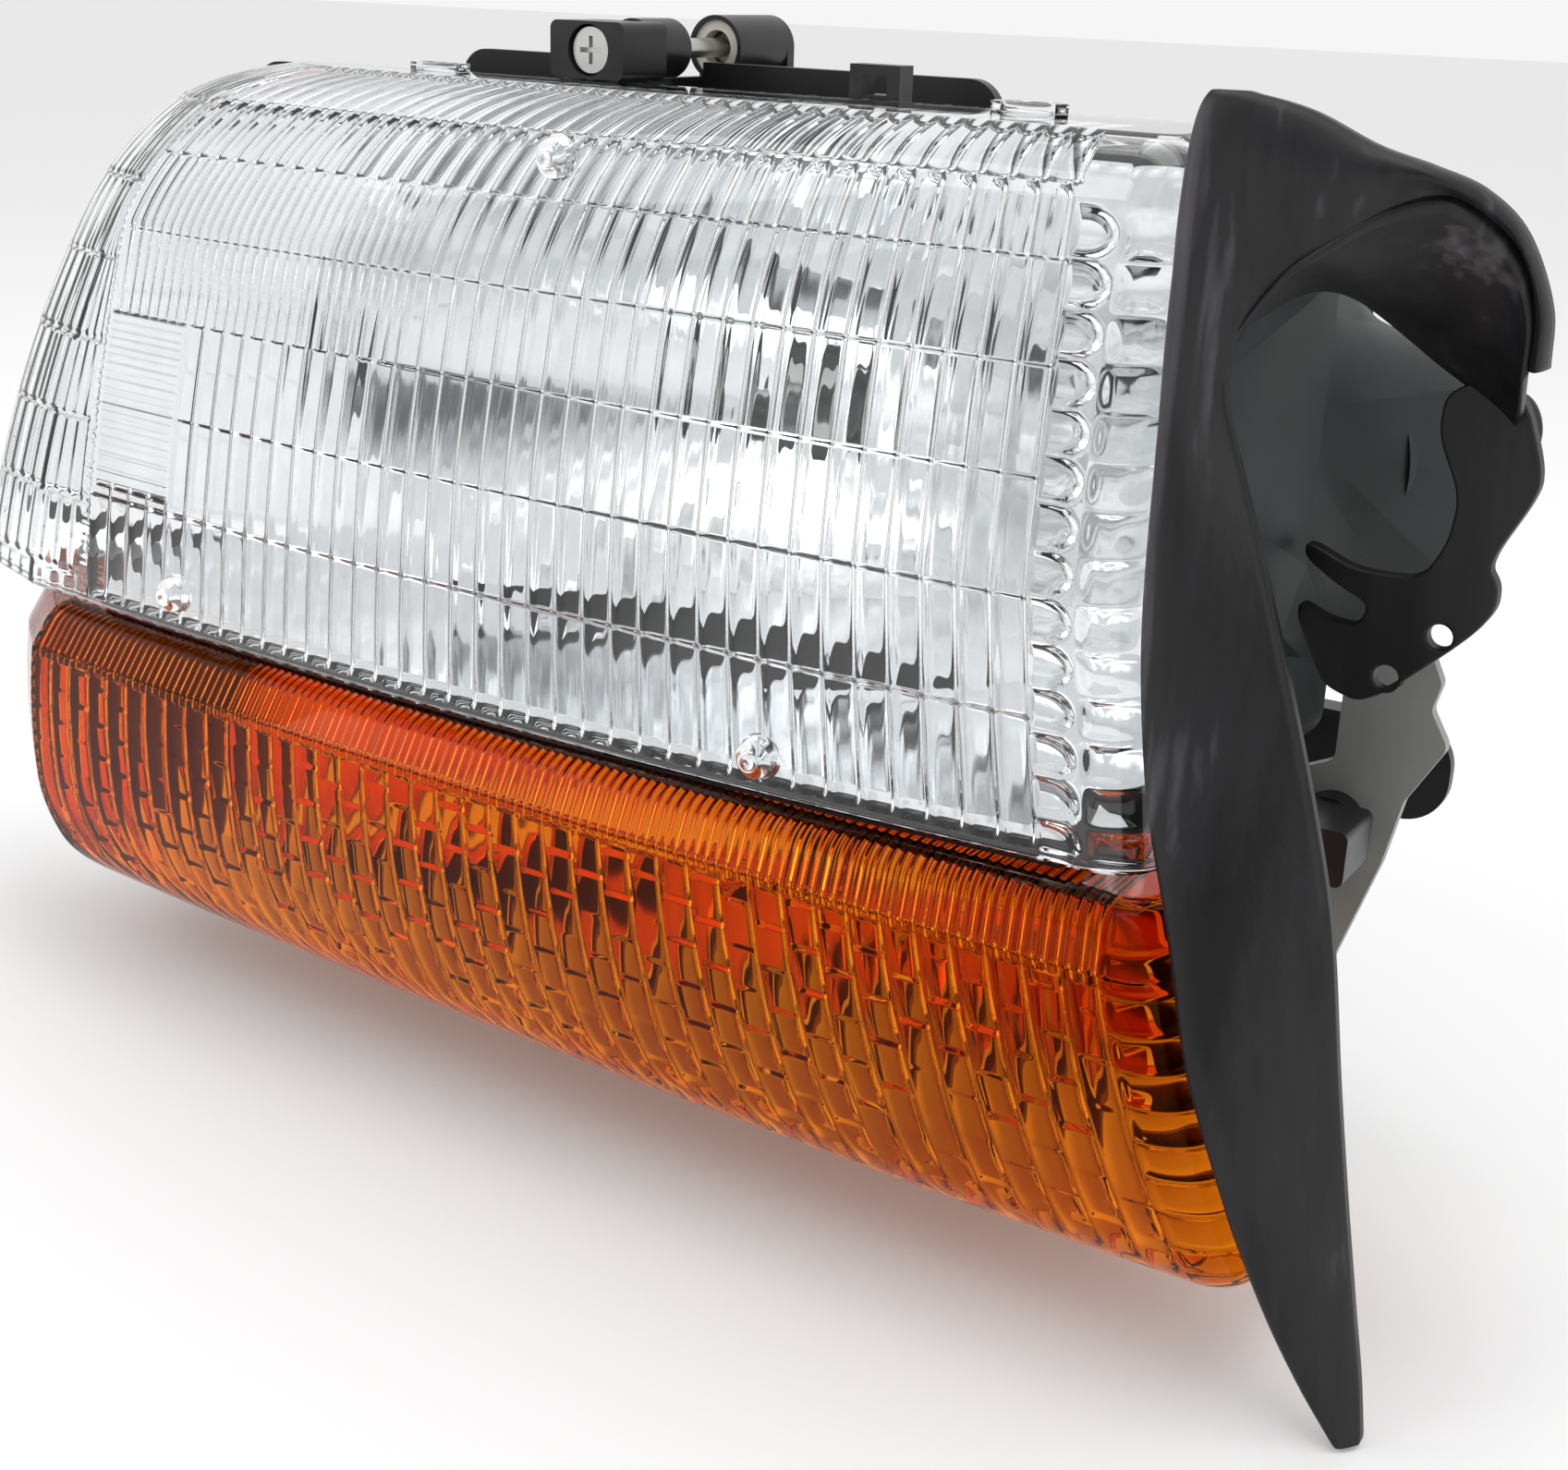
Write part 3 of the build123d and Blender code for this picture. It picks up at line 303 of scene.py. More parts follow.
def rubber_material():
    """Black rubber with pale dusty scuffs and fine streaks along its length."""
    material, tree, shader = new_material("seal_rubber")
    shader.inputs["Specular IOR Level"].default_value = 0.32
    scuffs = add_noise(tree, scale=30.0, detail=10.0, stretch=(1, 1, 0.22))
    streaks = add_noise(tree, scale=240.0, detail=6.0, stretch=(1, 1, 0.03))
    worn = tree.nodes.new("ShaderNodeMath")
    worn.operation = "MULTIPLY_ADD"
    worn.inputs[1].default_value = 0.35
    tree.links.new(streaks, worn.inputs[0])
    tree.links.new(scuffs, worn.inputs[2])
    colours = [(0.58, (0.004, 0.004, 0.005)), (0.76, (0.012, 0.012, 0.014)), (0.88, (0.075, 0.07, 0.076))]
    tree.links.new(add_ramp(tree, worn.outputs["Value"], colours), shader.inputs["Base Color"])
    tree.links.new(add_range(tree, scuffs, low=0.30, high=0.60), shader.inputs["Roughness"])
    add_bump(tree, shader, add_noise(tree, scale=700.0), strength=0.18, distance=0.0003)
    return material


clear_glass = glass(
    "clear_polycarbonate", low=(0.93, 0.95, 0.96), high=(0.99, 0.995, 1.0), rough=0.01, ior=1.5,
)
bulb_glass = glass("bulb_glass", low=(0.95, 0.96, 0.96), high=(1.0, 1.0, 1.0), rough=0.0, ior=1.45)
amber_glass = glass(
    "amber_acrylic", low=(0.84, 0.17, 0.003), high=(0.92, 0.25, 0.006), rough=0.01, ior=1.49,
    gloss=(0.30, 0.10, 0.03),
)
chrome = metal("aluminised_reflector", colour=(0.90, 0.91, 0.92), rough_low=0.05, rough_high=0.12)
zinc = metal("zinc_plated_steel", colour=(0.62, 0.62, 0.60), rough_low=0.22, rough_high=0.42)
brass = metal("tinned_brass", colour=(0.72, 0.58, 0.30), rough_low=0.2, rough_high=0.38)
housing_grey = plastic(
    "housing_dark_grey", dark=(0.012, 0.015, 0.016), light=(0.022, 0.027, 0.028), rough=0.46,
)
turn_grey = plastic("turn_housing_grey", dark=(0.24, 0.25, 0.235), light=(0.31, 0.32, 0.30), rough=0.42)
black_plastic = plastic(
    "satin_black_plastic", dark=(0.012, 0.012, 0.013), light=(0.022, 0.022, 0.023), rough=0.33,
)
nylon = plastic("natural_nylon", dark=(0.62, 0.58, 0.50), light=(0.72, 0.68, 0.60), rough=0.4)
foam = plastic(
    "black_foam", dark=(0.010, 0.010, 0.010), light=(0.022, 0.022, 0.022), rough=0.75, grain=1400.0, bump=0.6,
)
rubber = rubber_material()

CAD_MATERIALS = {
    "clear_lens": clear_glass,
    "amber_lens": amber_glass,
    "bulb_glass": bulb_glass,
    "reflector_chrome": chrome,
    "housing_plastic": housing_grey,
    "turn_housing_plastic": turn_grey,
    "black_plastic": black_plastic,
    "nylon": nylon,
    "seal_rubber": rubber,
    "foam_rubber": foam,
    "zinc_steel": zinc,
    "brass": brass,
}
slot_of = {part["node"]: part["material_slot"] for part in frame["record"]["subparts"]}
for node, shown in frame["nodes"].items():
    shown.data.materials.clear()
    shown.data.materials.append(CAD_MATERIALS[slot_of[node]])


# ---------------------------------------------------------------- clear lens
def lens_front_y(x, z):
    """Front surface of the clear lens: bowed in plan, and raked back more towards its outboard end."""
    out = FRONT_X - x
    up = z - LENS_MID
    rake = RAKE_LEAST + RAKE_GAIN * out - RAKE_FADE * out * out
    return FRONT_Y + FRONT_SLOPE * out + FRONT_BOW * out * out + rake * up + FRONT_CROWN * up * up


def lens_corner_x(z):
    """Outboard corner of the clear lens, with its round shoulder at the top."""
    up = z - LENS_MID
    over = max(0.0, z - (LENS_TOP - SHOULDER_R))
    shoulder = SHOULDER_R - math.sqrt(max(0.0, SHOULDER_R ** 2 - (SHOULDER_SQUASH * over) ** 2))
    return CORNER_X + CORNER_RAKE * up + CORNER_BOW * up * up + SHOULDER_WIDEN * shoulder


def drawn_in(z, top, bottom, top_r, bottom_r):
    """How far a rounded edge draws a section in at height z."""
    if z > top - top_r:
        return top_r - math.sqrt(max(0.0, top_r ** 2 - (z - top + top_r) ** 2))
    if z < bottom + bottom_r:
        return bottom_r - math.sqrt(max(0.0, bottom_r ** 2 - (bottom + bottom_r - z) ** 2))
    return 0.0


def lens_path(z, inset):
    """Plan outline of the lens at height z, from its inboard rear edge round to its outboard rear edge."""
    wall_x = LENS_WALL_X - inset + max(0.0, WALL_KNEE_Z - z) * WALL_SLANT
    corner_r = CORNER_R - min(inset, CORNER_INSET_MOST)
    start_x = wall_x - corner_r
    corner_x = lens_corner_x(z) + inset
    start_y = lens_front_y(start_x, z) + inset
    corner_y = start_y + corner_r
    path = [(wall_x, y) for y in np.linspace(LENS_BACK, corner_y, SIDE_STEPS, endpoint=False)]
    for turn in np.linspace(0, math.pi / 2, ARC_STEPS, endpoint=False):
        path.append((start_x + corner_r * math.cos(turn), corner_y - corner_r * math.sin(turn)))
    first_x = start_x - COLUMN_WIDTH
    line_x = max(CORNER_LINE_X, corner_x + LINE_TO_CORNER)
    front_x = [
        *np.linspace(start_x, first_x, COLUMN_STEPS, endpoint=False),
        *np.linspace(first_x, line_x, FLUTES * PER_FLUTE, endpoint=False),
        *np.linspace(line_x, corner_x, EDGE_STEPS, endpoint=False),
    ]
    path.extend((x, lens_front_y(x, z) + inset) for x in front_x)
    side_y = lens_front_y(corner_x, z) + inset
    depth = LENS_BACK - side_y
    middle = (corner_x - WRAP_MIDDLE_OUT * depth, side_y + WRAP_MIDDLE_BACK * depth)
    wrap = [(corner_x, side_y), middle, (corner_x - WRAP_SPREAD * depth, LENS_BACK)]
    path.extend(map(tuple, catmull(wrap, WRAP_STEPS)))
    outline = np.array(path)
    outline[:, 0] = np.maximum(outline[:, 0], lens_low[0])
    return outline


def lens_rows():
    """Heights of the lens's rows, and the points of its outer surface, ending with its flat roof."""
    heights = []
    for low_seam, high_seam in zip(SEAMS[:-1], SEAMS[1:]):
        heights.extend(np.linspace(low_seam, high_seam - SEAM_GAP, ROWS_PER_BAND))
    heights.extend(SEAMS[-1] + (LENS_TOP - SEAMS[-1]) * np.sin(np.linspace(0, math.pi / 2, CREST_ROWS)))
    made = []
    for z in heights:
        path = lens_path(z, drawn_in(z, LENS_TOP + TOP_SPILL, LENS_BOTTOM, TOP_R, BOTTOM_R))
        made.append(np.column_stack([path, np.full(len(path), z)]))
    return heights, np.array(made + roof_rows(made[-1], LENS_BACK, ROOF_ROWS))


def roof_rows(edge, back_y, count):
    """Rows that carry the top edge of a lens straight back to its rear edge."""
    made = []
    for share in np.linspace(0, 1, count + 1)[1:]:
        row = edge.copy()
        row[:, 1] += (back_y - row[:, 1]) * share
        made.append(row)
    return made


def inward_normals(points, roof_count):
    """Unit normals that point into a lens, straight down under its roof."""
    inward = grid_normals(points)
    if inward[points.shape[0] // 2, points.shape[1] // 2][1] < 0:
        inward = -inward
    inward[-roof_count:] = (0, 0, -1)
    return inward


def half_round(*shares):
    """Height of a rounded form of height 1 at the given shares of its half widths."""
    return math.sqrt(max(0.0, 1 - sum(share ** 2 for share in shares)))


def pane_depth(across, z, band):
    """Thickness a flute adds: flat panes in the middle bands, half-round rods over the top, U ends below."""
    if band == ROD_BAND:
        return ROD_DEPTH * half_round(across / ROD_HALF)
    if band == BULLET_BAND:
        head = max(0.0, (z - SEAMS[ROD_BAND] + BULLET_HEAD) / BULLET_HEAD)
        return BULLET_DEPTH * half_round(across / BULLET_HALF, head)
    if band == FOOT_BAND:
        foot = max(0.0, (LENS_BOTTOM + FOOT_ROUND + FOOT_MARGIN - z) / FOOT_ROUND)
        return FOOT_DEPTH * half_round(across ** 2, foot)
    lean = PANE_LEAN * (z - SEAMS[band]) / (SEAMS[band + 1] - SEAMS[band])
    return (PANE_DEPTH + lean) * (1 - across ** 6)


def column_depth(share, z):
    """The column of D shaped lenses beside the inboard corner, then the ridges that run round it."""
    across = 2 * (((z - LENS_BOTTOM) / D_PITCH) % 1.0) - 1
    if share < 1.0:
        round_off = half_round(across)
        bulge = max(0.0, 1 - (share / (D_REACH_LEAST + D_REACH_GAIN * round_off)) ** 4)
        return D_DEPTH * bulge * round_off
    fade = min(1.0, (share - 1.0) / RIDGE_RISE, (RIDGE_END - share) / RIDGE_FALL)
    return RIDGE_DEPTH * max(0.0, fade) * (1 - across ** 2)


def wrap_depth(step, z):
    """The beaded corner line, then the wrapped panel with its fine lines in broad bands."""
    if step < BEAD_END:
        bead = BEAD_DEPTH * max(0.0, math.sin(z * 2 * math.pi / BEAD_PITCH))
        return bead if step in BEAD_STEPS else 0.0
    shifted = step + WRAP_SHIFT * (int(-z / WRAP_BAND) % 2)
    line = (1 + math.cos(shifted * 2 * math.pi / WRAP_LINES)) / 2
    seam = WRAP_SEAM_DEPTH if (z / WRAP_BAND) % 1.0 < WRAP_SEAM_SHARE else 0.0
    return WRAP_LINE_DEPTH * line + seam


def lens_relief(points, roof_start):
    """How much thicker than its plain wall the clear lens is at each grid point."""
    rows, columns = points.shape[:2]
    depth = np.zeros((rows, columns))
    column_start = SIDE_STEPS + ARC_STEPS
    first = column_start + COLUMN_STEPS
    last = first + FLUTES * PER_FLUTE
    for j in range(rows):
        z = points[j, 0, 2]
        kept = max(0.0, 1 - max(0.0, (j - roof_start) / ROOF_FADE_ROWS))
        band = max(k for k, seam in enumerate(SEAMS) if z >= seam - 1e-6)
        for i in range(columns):
            if first <= i < last:
                flute = (i - first) // PER_FLUTE
                across = 2 * (((i - first + 0.5) % PER_FLUTE) / PER_FLUTE) - 1
                if flute >= FINE_FLUTES and band in FINE_BANDS:
                    across = 2 * ((across + 1) % 1.0) - 1
                depth[j, i] = pane_depth(across, z, band) * kept
                if flute >= FLUTES - PATCH_FLUTES and PATCH_BOTTOM < z < PATCH_TOP:
                    depth[j, i] = PATCH_DEPTH * (1 + math.cos(z * 2 * math.pi / PATCH_PITCH)) / 2
            elif i < first and z < COLUMN_TOP:
                share = (first - i) / COLUMN_STEPS
                if i < column_start:
                    share = 1 + 2 * (column_start - i) / ARC_STEPS
                depth[j, i] = column_depth(share, z)
            elif i >= last:
                depth[j, i] = wrap_depth(i - last, z) * kept
    return depth


lens_heights, outer = lens_rows()
relief = lens_relief(outer, roof_start=len(lens_heights) - 1)
inner = outer + inward_normals(outer, ROOF_ROWS) * (WALL + relief)[:, :, None]
clear_lens = shell_object("clear_lens_fluted", outer, inner, clear_glass)
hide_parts("headlamp_lens")


def ring_closing(loops, steps):
    """Quads from the last loop of a ring back to its first."""
    low = (loops - 1) * steps
    return [(low + k, low + (k + 1) % steps, (k + 1) % steps, k) for k in range(steps)]


def turned(name, profile, centre, axis, material):
    """A turned piece: profile is (radius, distance along axis) from centre."""
    axis = Vector(axis).normalized()
    side = axis.orthogonal().normalized()
    other = axis.cross(side)
    points = []
    for radius, along in profile:
        for k in range(NUB_STEPS):
            angle = 2 * math.pi * k / NUB_STEPS
            outwards = side * (radius * math.cos(angle)) + other * (radius * math.sin(angle))
            points.append(np.array(centre) + np.array(axis * along + outwards))
    return mesh_object(name, points, grid_faces(len(profile), NUB_STEPS, wrap=True), material)


for index, (nub_x, nub_z) in enumerate(NUB_PLACES):
    nub_place = (nub_x, lens_front_y(nub_x, nub_z), nub_z)
    turned(f"aiming_nub_{index}", NUB_PROFILE, nub_place, (0, 1, 0), clear_glass)

for index, loop_x in enumerate(LOOP_PLACES):
    loop_points = []
    for radius_x, radius_y, height in LOOP_SECTION:
        for turn in np.linspace(0, 2 * math.pi, LOOP_STEPS, endpoint=False):
            x = loop_x + radius_x * math.cos(turn)
            y = LOOP_Y + radius_y * math.sin(turn)
            loop_points.append((x, y, LENS_TOP + LOOP_LIFT + height))
    loop_faces = grid_faces(len(LOOP_SECTION), LOOP_STEPS, wrap=True)
    loop_faces += ring_closing(len(LOOP_SECTION), LOOP_STEPS)
    mesh_object(f"lens_loop_{index}", loop_points, loop_faces, clear_glass)


# ---------------------------------------------------------------- amber lens
def turn_front_y(x, z):
    """Front surface of the amber lens, with a sloping ledge at the top."""
    out = FRONT_X - x
    crown = TURN_CROWN * (1 - ((z - TURN_MID) / TURN_CROWN_HALF) ** 2)
    ledge = LEDGE_RUN * max(0.0, 1 - (TURN_TOP - z) / LEDGE_DROP)
    return TURN_FRONT_Y + TURN_BOW * out * out - crown + ledge


def turn_inboard_x(z):
    """Inboard end of the amber lens."""
    down = TURN_TOP - z
    return TURN_END_X + TURN_END_SLANT * down + TURN_END_BOW * down * down


def turn_path(z, inset):
    """Plan outline of the amber lens at height z."""
    end_x = turn_inboard_x(z) - inset
    corner_r = TURN_CORNER_R - min(inset, CORNER_INSET_MOST)
    start_x = end_x - corner_r
    low = max(0.0, TURN_BOTTOM + TURN_LOWER_R - z)
    outer_x = TURN_CORNER_X + inset + TURN_LOWER_R - math.sqrt(max(0.0, TURN_LOWER_R ** 2 - low ** 2))
    corner_y = turn_front_y(start_x, z) + inset + corner_r
    path = [(end_x, y) for y in np.linspace(TURN_BACK, corner_y, SIDE_STEPS, endpoint=False)]
    for turn in np.linspace(0, math.pi / 2, ARC_STEPS, endpoint=False):
        path.append((start_x + corner_r * math.cos(turn), corner_y - corner_r * math.sin(turn)))
    for x in np.linspace(start_x, outer_x, TURN_FLUTES * PER_FLUTE, endpoint=False):
        path.append((x, turn_front_y(x, z) + inset))
    side_y = turn_front_y(outer_x, z) + inset
    middle = (outer_x - TURN_WRAP_MIDDLE[0], side_y + TURN_WRAP_MIDDLE[1])
    wrap = [(outer_x, side_y), middle, (outer_x - TURN_WRAP_OUT, TURN_BACK)]
    path.extend(map(tuple, catmull(wrap, WRAP_STEPS)))
    return np.array(path)


def turn_rows():
    """Points of the amber lens's outer surface, from its rounded foot to its flat roof."""
    foot_turn = np.linspace(TURN_FOOT_START, math.pi / 2, TURN_FOOT_ROWS)
    face_low = TURN_BOTTOM + TURN_BOTTOM_R + TURN_FOOT_GAP
    face_high = TURN_TOP - TURN_TOP_R - TURN_CREST_GAP
    crest_turn = np.linspace(0, math.pi / 2, TURN_CREST_ROWS)
    heights = [
        *(TURN_BOTTOM + TURN_BOTTOM_R * (1 - np.cos(foot_turn))),
        *np.linspace(face_low, face_high, TURN_FACE_ROWS),
        *(TURN_TOP - TURN_TOP_R + TURN_TOP_R * np.sin(crest_turn)),
    ]
    made = []
    for z in heights:
        inset = drawn_in(z, TURN_TOP + TURN_SPILL, TURN_BOTTOM - TURN_SPILL, TURN_TOP_R, TURN_BOTTOM_R)
        path = turn_path(z, inset)
        made.append(np.column_stack([path, np.full(len(path), z)]))
    return np.array(made + roof_rows(made[-1], TURN_BACK, TURN_ROOF_ROWS))


def rib_depth(step, z):
    """Fine sharp ribs under the ledge, thicker along the lip where it meets the face."""
    rib = 2 * ((LEDGE_RIBS * step / PER_FLUTE) % 1.0) - 1
    lip = RIB_LIP if z < TURN_TOP - LEDGE_DROP + RIB_LIP_ABOVE else 1.0
    return RIB_DEPTH * (1 - abs(rib)) * lip


def brick_depth(step, z):
    """Staggered bricks on the face, each leaning in or out by its own amount."""
    flute = step // PER_FLUTE
    across = 2 * ((step % PER_FLUTE) / PER_FLUTE) - 1
    course = (TURN_TOP - z) / BRICK + (flute * BRICK_STAGGER) % 1.0
    mixed = math.sin(HASH_FLUTE * flute + HASH_COURSE * math.floor(course)) * HASH_GAIN
    lean = BRICK_LEAN_RANGE * (mixed - math.floor(mixed)) + BRICK_LEAN_LEAST
    crown = BRICK_CROWN * (1 - abs(across) ** 3)
    return crown + lean * (course % 1.0) * (1 - across ** 6) + BRICK_BASE


def turn_relief(points):
    """How much thicker than its plain wall the amber lens is at each grid point."""
    rows, columns = points.shape[:2]
    depth = np.zeros((rows, columns))
    first = SIDE_STEPS + ARC_STEPS
    last = first + TURN_FLUTES * PER_FLUTE
    for j in range(rows):
        z = points[j, 0, 2]
        for i in range(columns):
            if i < first:
                across = 2 * (((TURN_TOP - z) / END_PITCH) % 1.0) - 1
                depth[j, i] = END_DEPTH * half_round(across)
            elif i >= last:
                dots = math.cos(z * 2 * math.pi / DOT_PITCH) * math.cos(i * 2 * math.pi / DOT_PITCH)
                depth[j, i] = DOT_DEPTH * dots
            elif z > TURN_TOP - LEDGE_DROP - RIB_BELOW:
                depth[j, i] = rib_depth(i - first, z)
            else:
                depth[j, i] = brick_depth(i - first, z)
    return depth


turn_outer = turn_rows()
turn_wall = (WALL + turn_relief(turn_outer))[:, :, None]
turn_inner = turn_outer + inward_normals(turn_outer, TURN_ROOF_ROWS) * turn_wall
amber_lens = shell_object("amber_lens_fluted", turn_outer, turn_inner, amber_glass)
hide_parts("turn_signal_lens")


# ---------------------------------------------------------------- rubber seal
# The face of the blade and of the brow over it: its outer edge and its inner edge, from the bottom tip round.
SEAL_OUTER = [
    (262, -126, -296), (252, -130, -279), (242, -134, -259), (230, -137, -232), (218, -137, -203),
    (206, -131, -166), (196, -125, -139), (190, -122, -105), (188.8, -122, -71), (188.6, -122, -45),
    (188.6, -122, -18), (190, -122, 12), (194, -121, 24), (204, -119, 23), (215, -115, 20), (228, -112, 14),
    (240, -110, 10.5), (250, -104, 6), (258, -96, -3), (263.5, -88, -19), (264, -84, -33),
]
SEAL_INNER = [
    (267, -121, -296), (264, -120, -279), (260, -120, -259), (254, -118, -232), (248, -116, -203),
    (241, -114, -166), (233, -112, -139), (222, -112, -105), (210, -112, -71), (201, -113, -45),
    (201, -113, -34), (204, -113.5, -25), (208, -114, -19), (214, -115, -12), (222, -115, -6), (232, -112, 1),
    (243, -108, 4.5), (251, -101, 0), (257, -93, -8), (260, -87, -20), (260, -84, -34),
]
# The roof of the hood runs back from the inner edge, from this point of it on, to a rear edge at one depth.
ROOF_FIRST = 11
ROOF_END = [
    (204, -19), (207, -20.5), (212, -23), (219, -27), (227, -32), (234, -36.5), (241, -40.5),
    (246, -43.5), (250, -46), (254, -49),
]
ROOF_END_Y = -56.0
STRAP = [
    (254, -44), (260, -60), (260.5, -67), (251, -86), (254.4, -91), (254.5, -97), (249.4, -105),
    (226, -127.6), (214.6, -124.4), (211.6, -119.5), (205.4, -108), (205.4, -103), (213, -106.5),
    (221, -107), (223.5, -101), (214, -97), (205.4, -91.5), (205.4, -87), (218.8, -92.8), (235.2, -92.3),
    (240.7, -82), (241.8, -70), (234.8, -56.3), (235.1, -46), (243, -41),
]
STRAP_HOLES, STRAP_HOLE_R = [(242.0, -106.0), (230.0, -119.0)], 3.2
STRAP_FRONT, STRAP_REAR, STRAP_EDGE_R = -57.0, -52.0, 0.8

RUBBER, RUBBER_SHIFT, BOX_MARGIN = 3.0, 1.5, 0.3
FACE_CROWN, FACE_CROWN_LEAN = 4.2, 0.7
FACE_STATIONS, FACE_ROWS, ROOF_STATIONS, ROOF_ACROSS = 240, 18, 120, 30
TIP_SHARE, TIP_GROWTH = 0.25, 6.0           # share of the crown at the bottom tip, and how fast it grows


def seal_face():
    """Points of the face, crowned between its two edges and flatter at the bottom tip."""
    outer_edge = catmull(SEAL_OUTER, FACE_STATIONS)
    inner_edge = catmull(SEAL_INNER, FACE_STATIONS)
    fullness = np.minimum(1, np.linspace(0, TIP_GROWTH, FACE_STATIONS) + TIP_SHARE)
    made = []
    for share in np.linspace(0, 1, FACE_ROWS):
        row = outer_edge + share * (inner_edge - outer_edge)
        row[:, 1] -= FACE_CROWN * math.sin(math.pi * share ** FACE_CROWN_LEAN) * fullness
        made.append(row)
    return np.clip(np.array(made), seal_low + BOX_MARGIN, seal_high - BOX_MARGIN)


def flat_plate(name, outlines, front_y, rear_y, edge, material):
    """A plate with rounded edges in the XZ plane; the first outline is its border, the others are holes."""
    drawn = bpy.data.curves.new(name + "_outline", "CURVE")
    drawn.dimensions = "2D"
    drawn.fill_mode = "BOTH"
    drawn.bevel_depth = edge * MM
    drawn.bevel_resolution = 3
    drawn.offset = -edge * MM
    drawn.extrude = ((rear_y - front_y) / 2 - edge) * MM
    for points in outlines:
        spline = drawn.splines.new("POLY")
        spline.points.add(len(points) - 1)
        for point, (x, z) in zip(spline.points, points):
            point.co = (x * MM, z * MM, 0, 1)
        spline.use_cyclic_u = True
    holder = bpy.data.objects.new(name + "_outline", drawn)
    mesh = bpy.data.meshes.new_from_object(holder)
    bpy.data.objects.remove(holder)
    bpy.data.curves.remove(drawn)
    points = [(v.co.x / MM, (front_y + rear_y) / 2 - v.co.z / MM, v.co.y / MM) for v in mesh.vertices]
    faces = [tuple(polygon.vertices) for polygon in mesh.polygons]
    bpy.data.meshes.remove(mesh)
    return mesh_object(name, points, faces, material, smooth=False)


def rounded(points, passes=3, cut=0.2):
    """A closed outline with its corners cut back, so that it reads as moulded rubber."""
    made = np.array(points, float)
    for _ in range(passes):
        following = np.roll(made, -1, axis=0)
        near = (1 - cut) * made + cut * following
        far = cut * made + (1 - cut) * following
        made = np.stack([near, far], axis=1).reshape(-1, 2)
    return [tuple(point) for point in made]


def circle(centre, radius, steps=40):
    """Points round a circle."""
    turns = np.linspace(0, 2 * math.pi, steps, endpoint=False)
    return [(centre[0] + radius * math.cos(turn), centre[1] + radius * math.sin(turn)) for turn in turns]


face = seal_face()
rubber_face = shell_object("inboard_seal_face", face, face + (0, RUBBER, 0), rubber)
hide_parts("inboard_seal")

roof_front = catmull(SEAL_INNER[ROOF_FIRST:], ROOF_STATIONS)
roof_back = catmull([(x, ROOF_END_Y, z) for x, z in ROOF_END], ROOF_STATIONS)
roof = np.array([roof_front + share * (roof_back - roof_front) for share in np.linspace(0, 1, ROOF_ACROSS)])
shell_object("inboard_seal_roof", roof, roof - (RUBBER_SHIFT, 0, RUBBER), rubber)

strap_lines = [rounded(STRAP)] + [circle(centre, STRAP_HOLE_R) for centre in STRAP_HOLES]
flat_plate("inboard_seal_strap", strap_lines, STRAP_FRONT, STRAP_REAR, STRAP_EDGE_R, rubber)

# ---------------------------------------------------------------- floor, light and camera, in metres
FLOOR_SIZE, FLOOR_DROP = 24, 1 * MM
WHITE, GREY, DUSK = (1.0, 1.0, 1.0), (0.5, 0.51, 0.53), (0.06, 0.065, 0.07)
DUSK_SIDE = (0.49, -0.86, 0.12)             # the side of the studio that darkens, for the lenses to mirror
DUSK_FADE = [(0.80, WHITE), (0.90, GREY), (0.965, DUSK)]
STUDIO_STRENGTH = 0.92
AZIMUTH, ELEVATION, ROLL = math.radians(31.7), math.radians(19.8), math.radians(2.01)
CAMERA_PLACE, FOCAL_LENGTH_MM, SENSOR_MM = (0.371, -0.574, 0.045), 48.83, 36.0

bpy.ops.mesh.primitive_plane_add(size=FLOOR_SIZE, location=(0, 0, seal_low[2] * MM - FLOOR_DROP))
floor = bpy.context.object
floor.name = "floor"
floor_material, _, floor_shader = new_material("pale_floor")
floor_shader.inputs["Base Color"].default_value = (0.90, 0.90, 0.90, 1)
floor_shader.inputs["Roughness"].default_value = 0.7
floor.data.materials.append(floor_material)

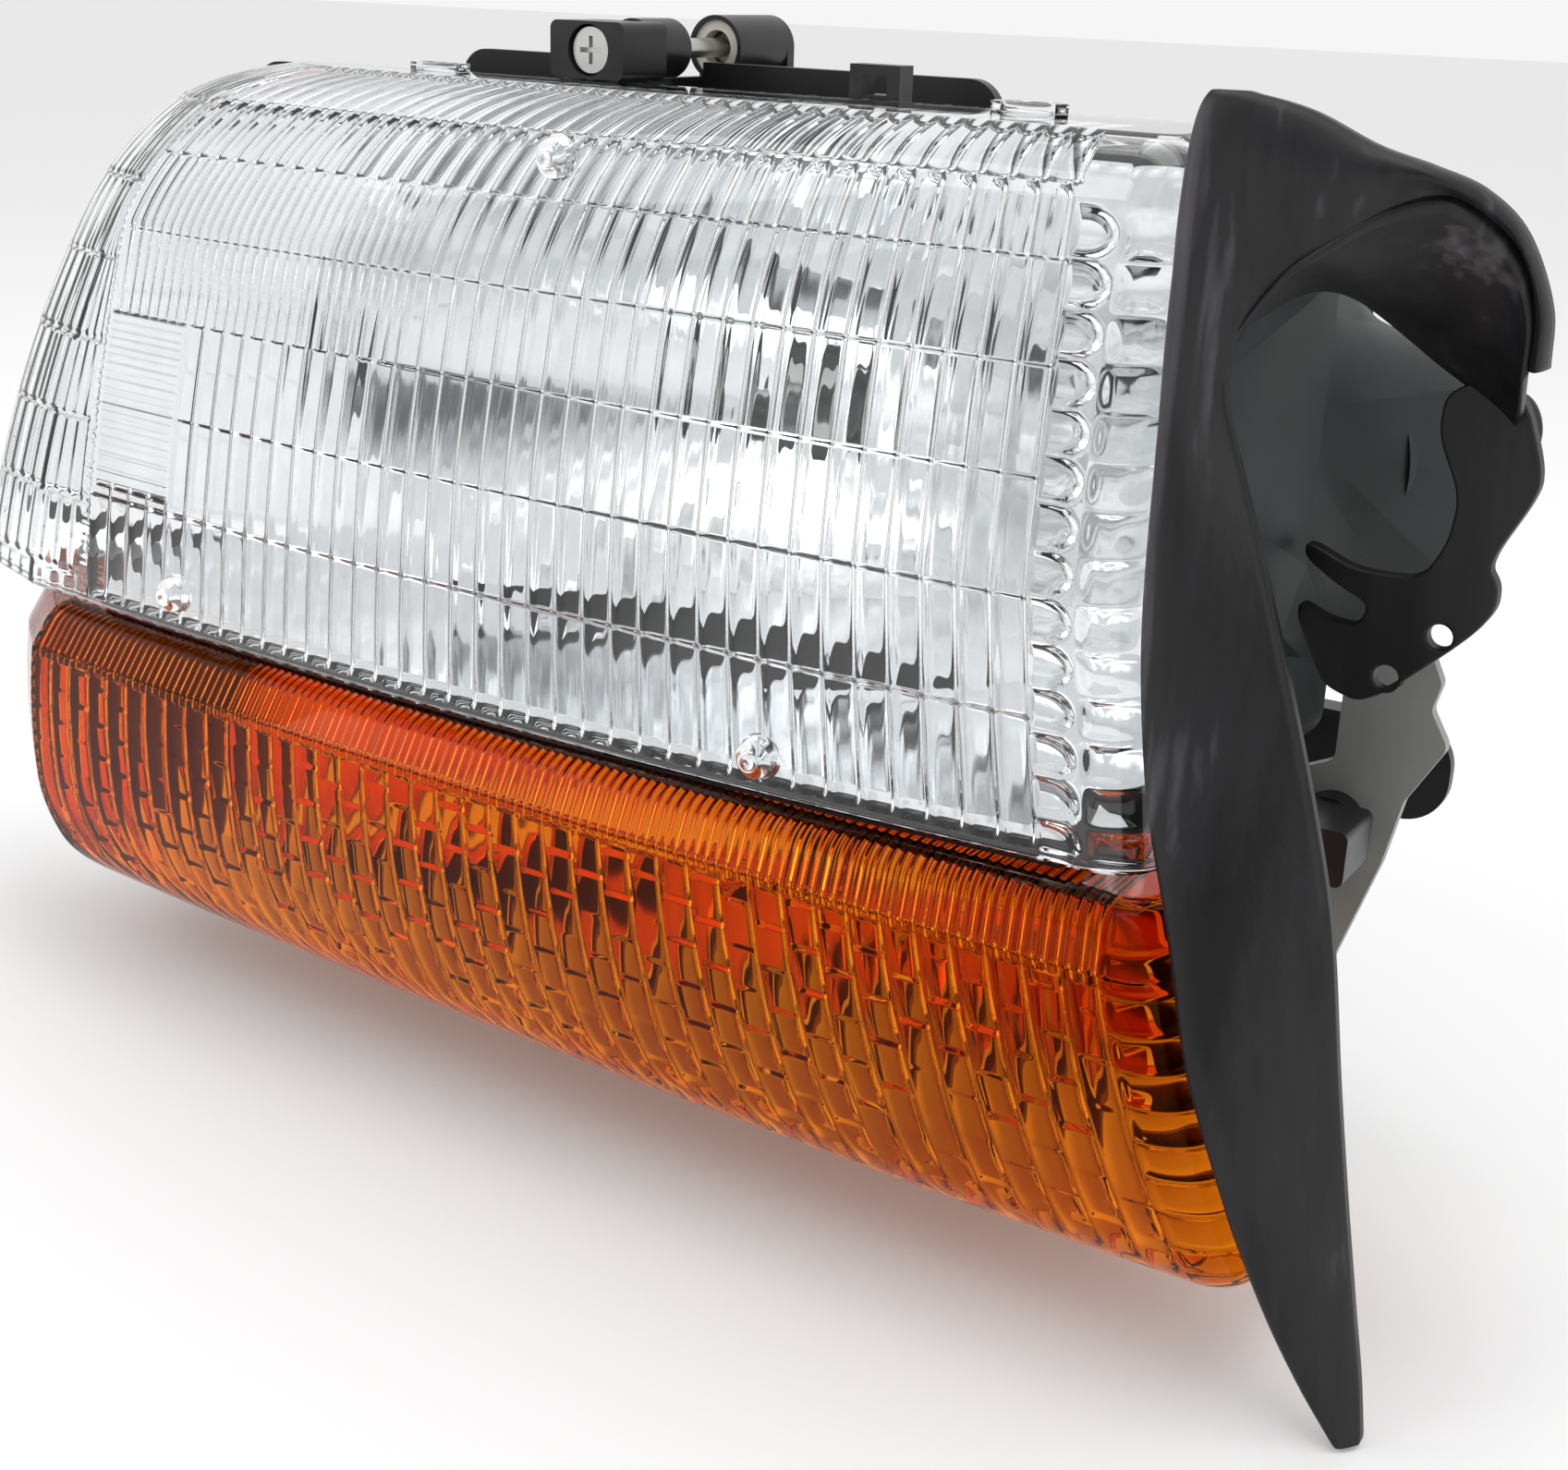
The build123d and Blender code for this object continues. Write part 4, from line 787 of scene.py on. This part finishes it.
# The studio is white with one dark side, which shows in reflections and not as a backdrop.
world = bpy.data.worlds.new("studio")
bpy.context.scene.world = world
world.use_nodes = True
sky = world.node_tree
backdrop = sky.nodes["Background"]
backdrop.inputs["Strength"].default_value = STUDIO_STRENGTH
direction = sky.nodes.new("ShaderNodeTexCoord")
unit = sky.nodes.new("ShaderNodeVectorMath")
unit.operation = "NORMALIZE"
facing = sky.nodes.new("ShaderNodeVectorMath")
facing.operation = "DOT_PRODUCT"
facing.inputs[1].default_value = DUSK_SIDE
sky.links.new(direction.outputs["Generated"], unit.inputs[0])
sky.links.new(unit.outputs["Vector"], facing.inputs[0])
rays = sky.nodes.new("ShaderNodeLightPath")
plain_backdrop = sky.nodes.new("ShaderNodeVectorMath")
plain_backdrop.operation = "MAXIMUM"
sky.links.new(add_ramp(sky, facing.outputs["Value"], DUSK_FADE), plain_backdrop.inputs[0])
sky.links.new(rays.outputs["Is Camera Ray"], plain_backdrop.inputs[1])
sky.links.new(plain_backdrop.outputs["Vector"], backdrop.inputs["Color"])


def softbox(name, place, target, width, height, power):
    """A rectangular soft light that faces a point."""
    light = bpy.data.lights.new(name, "AREA")
    light.shape = "RECTANGLE"
    light.size, light.size_y = width, height
    light.energy = power
    lamp = bpy.data.objects.new(name, light)
    lamp.location = place
    lamp.rotation_mode = "QUATERNION"
    lamp.rotation_quaternion = (Vector(target) - Vector(place)).to_track_quat("-Z", "Y")
    bpy.context.scene.collection.objects.link(lamp)


softbox("key", place=(-1.0, -1.2, 1.0), target=(0, 0, -0.1), width=1.2, height=1.0, power=8)
softbox("fill", place=(1.4, -0.6, 0.5), target=(0.1, 0, -0.1), width=0.8, height=1.2, power=4)
softbox("top", place=(0.1, 0.2, 1.5), target=(0, 0, -0.1), width=1.6, height=0.8, power=8)

level = Vector((-math.sin(AZIMUTH), math.cos(AZIMUTH), 0))
forward = level * math.cos(ELEVATION) - Vector((0, 0, math.sin(ELEVATION)))
level_right = Vector((math.cos(AZIMUTH), math.sin(AZIMUTH), 0))
level_up = level_right.cross(forward)
right = level_right * math.cos(ROLL) + level_up * math.sin(ROLL)
up = level_up * math.cos(ROLL) - level_right * math.sin(ROLL)
camera_data = bpy.data.cameras.new("camera")
camera_data.lens = FOCAL_LENGTH_MM
camera_data.sensor_width = SENSOR_MM
camera = bpy.data.objects.new("camera", camera_data)
turn_matrix = Matrix((right, up, -forward)).transposed()
camera.matrix_world = Matrix.Translation(CAMERA_PLACE) @ turn_matrix.to_4x4()
bpy.context.scene.collection.objects.link(camera)
bpy.context.scene.camera = camera
bpy.context.scene.view_settings.view_transform = "Standard"
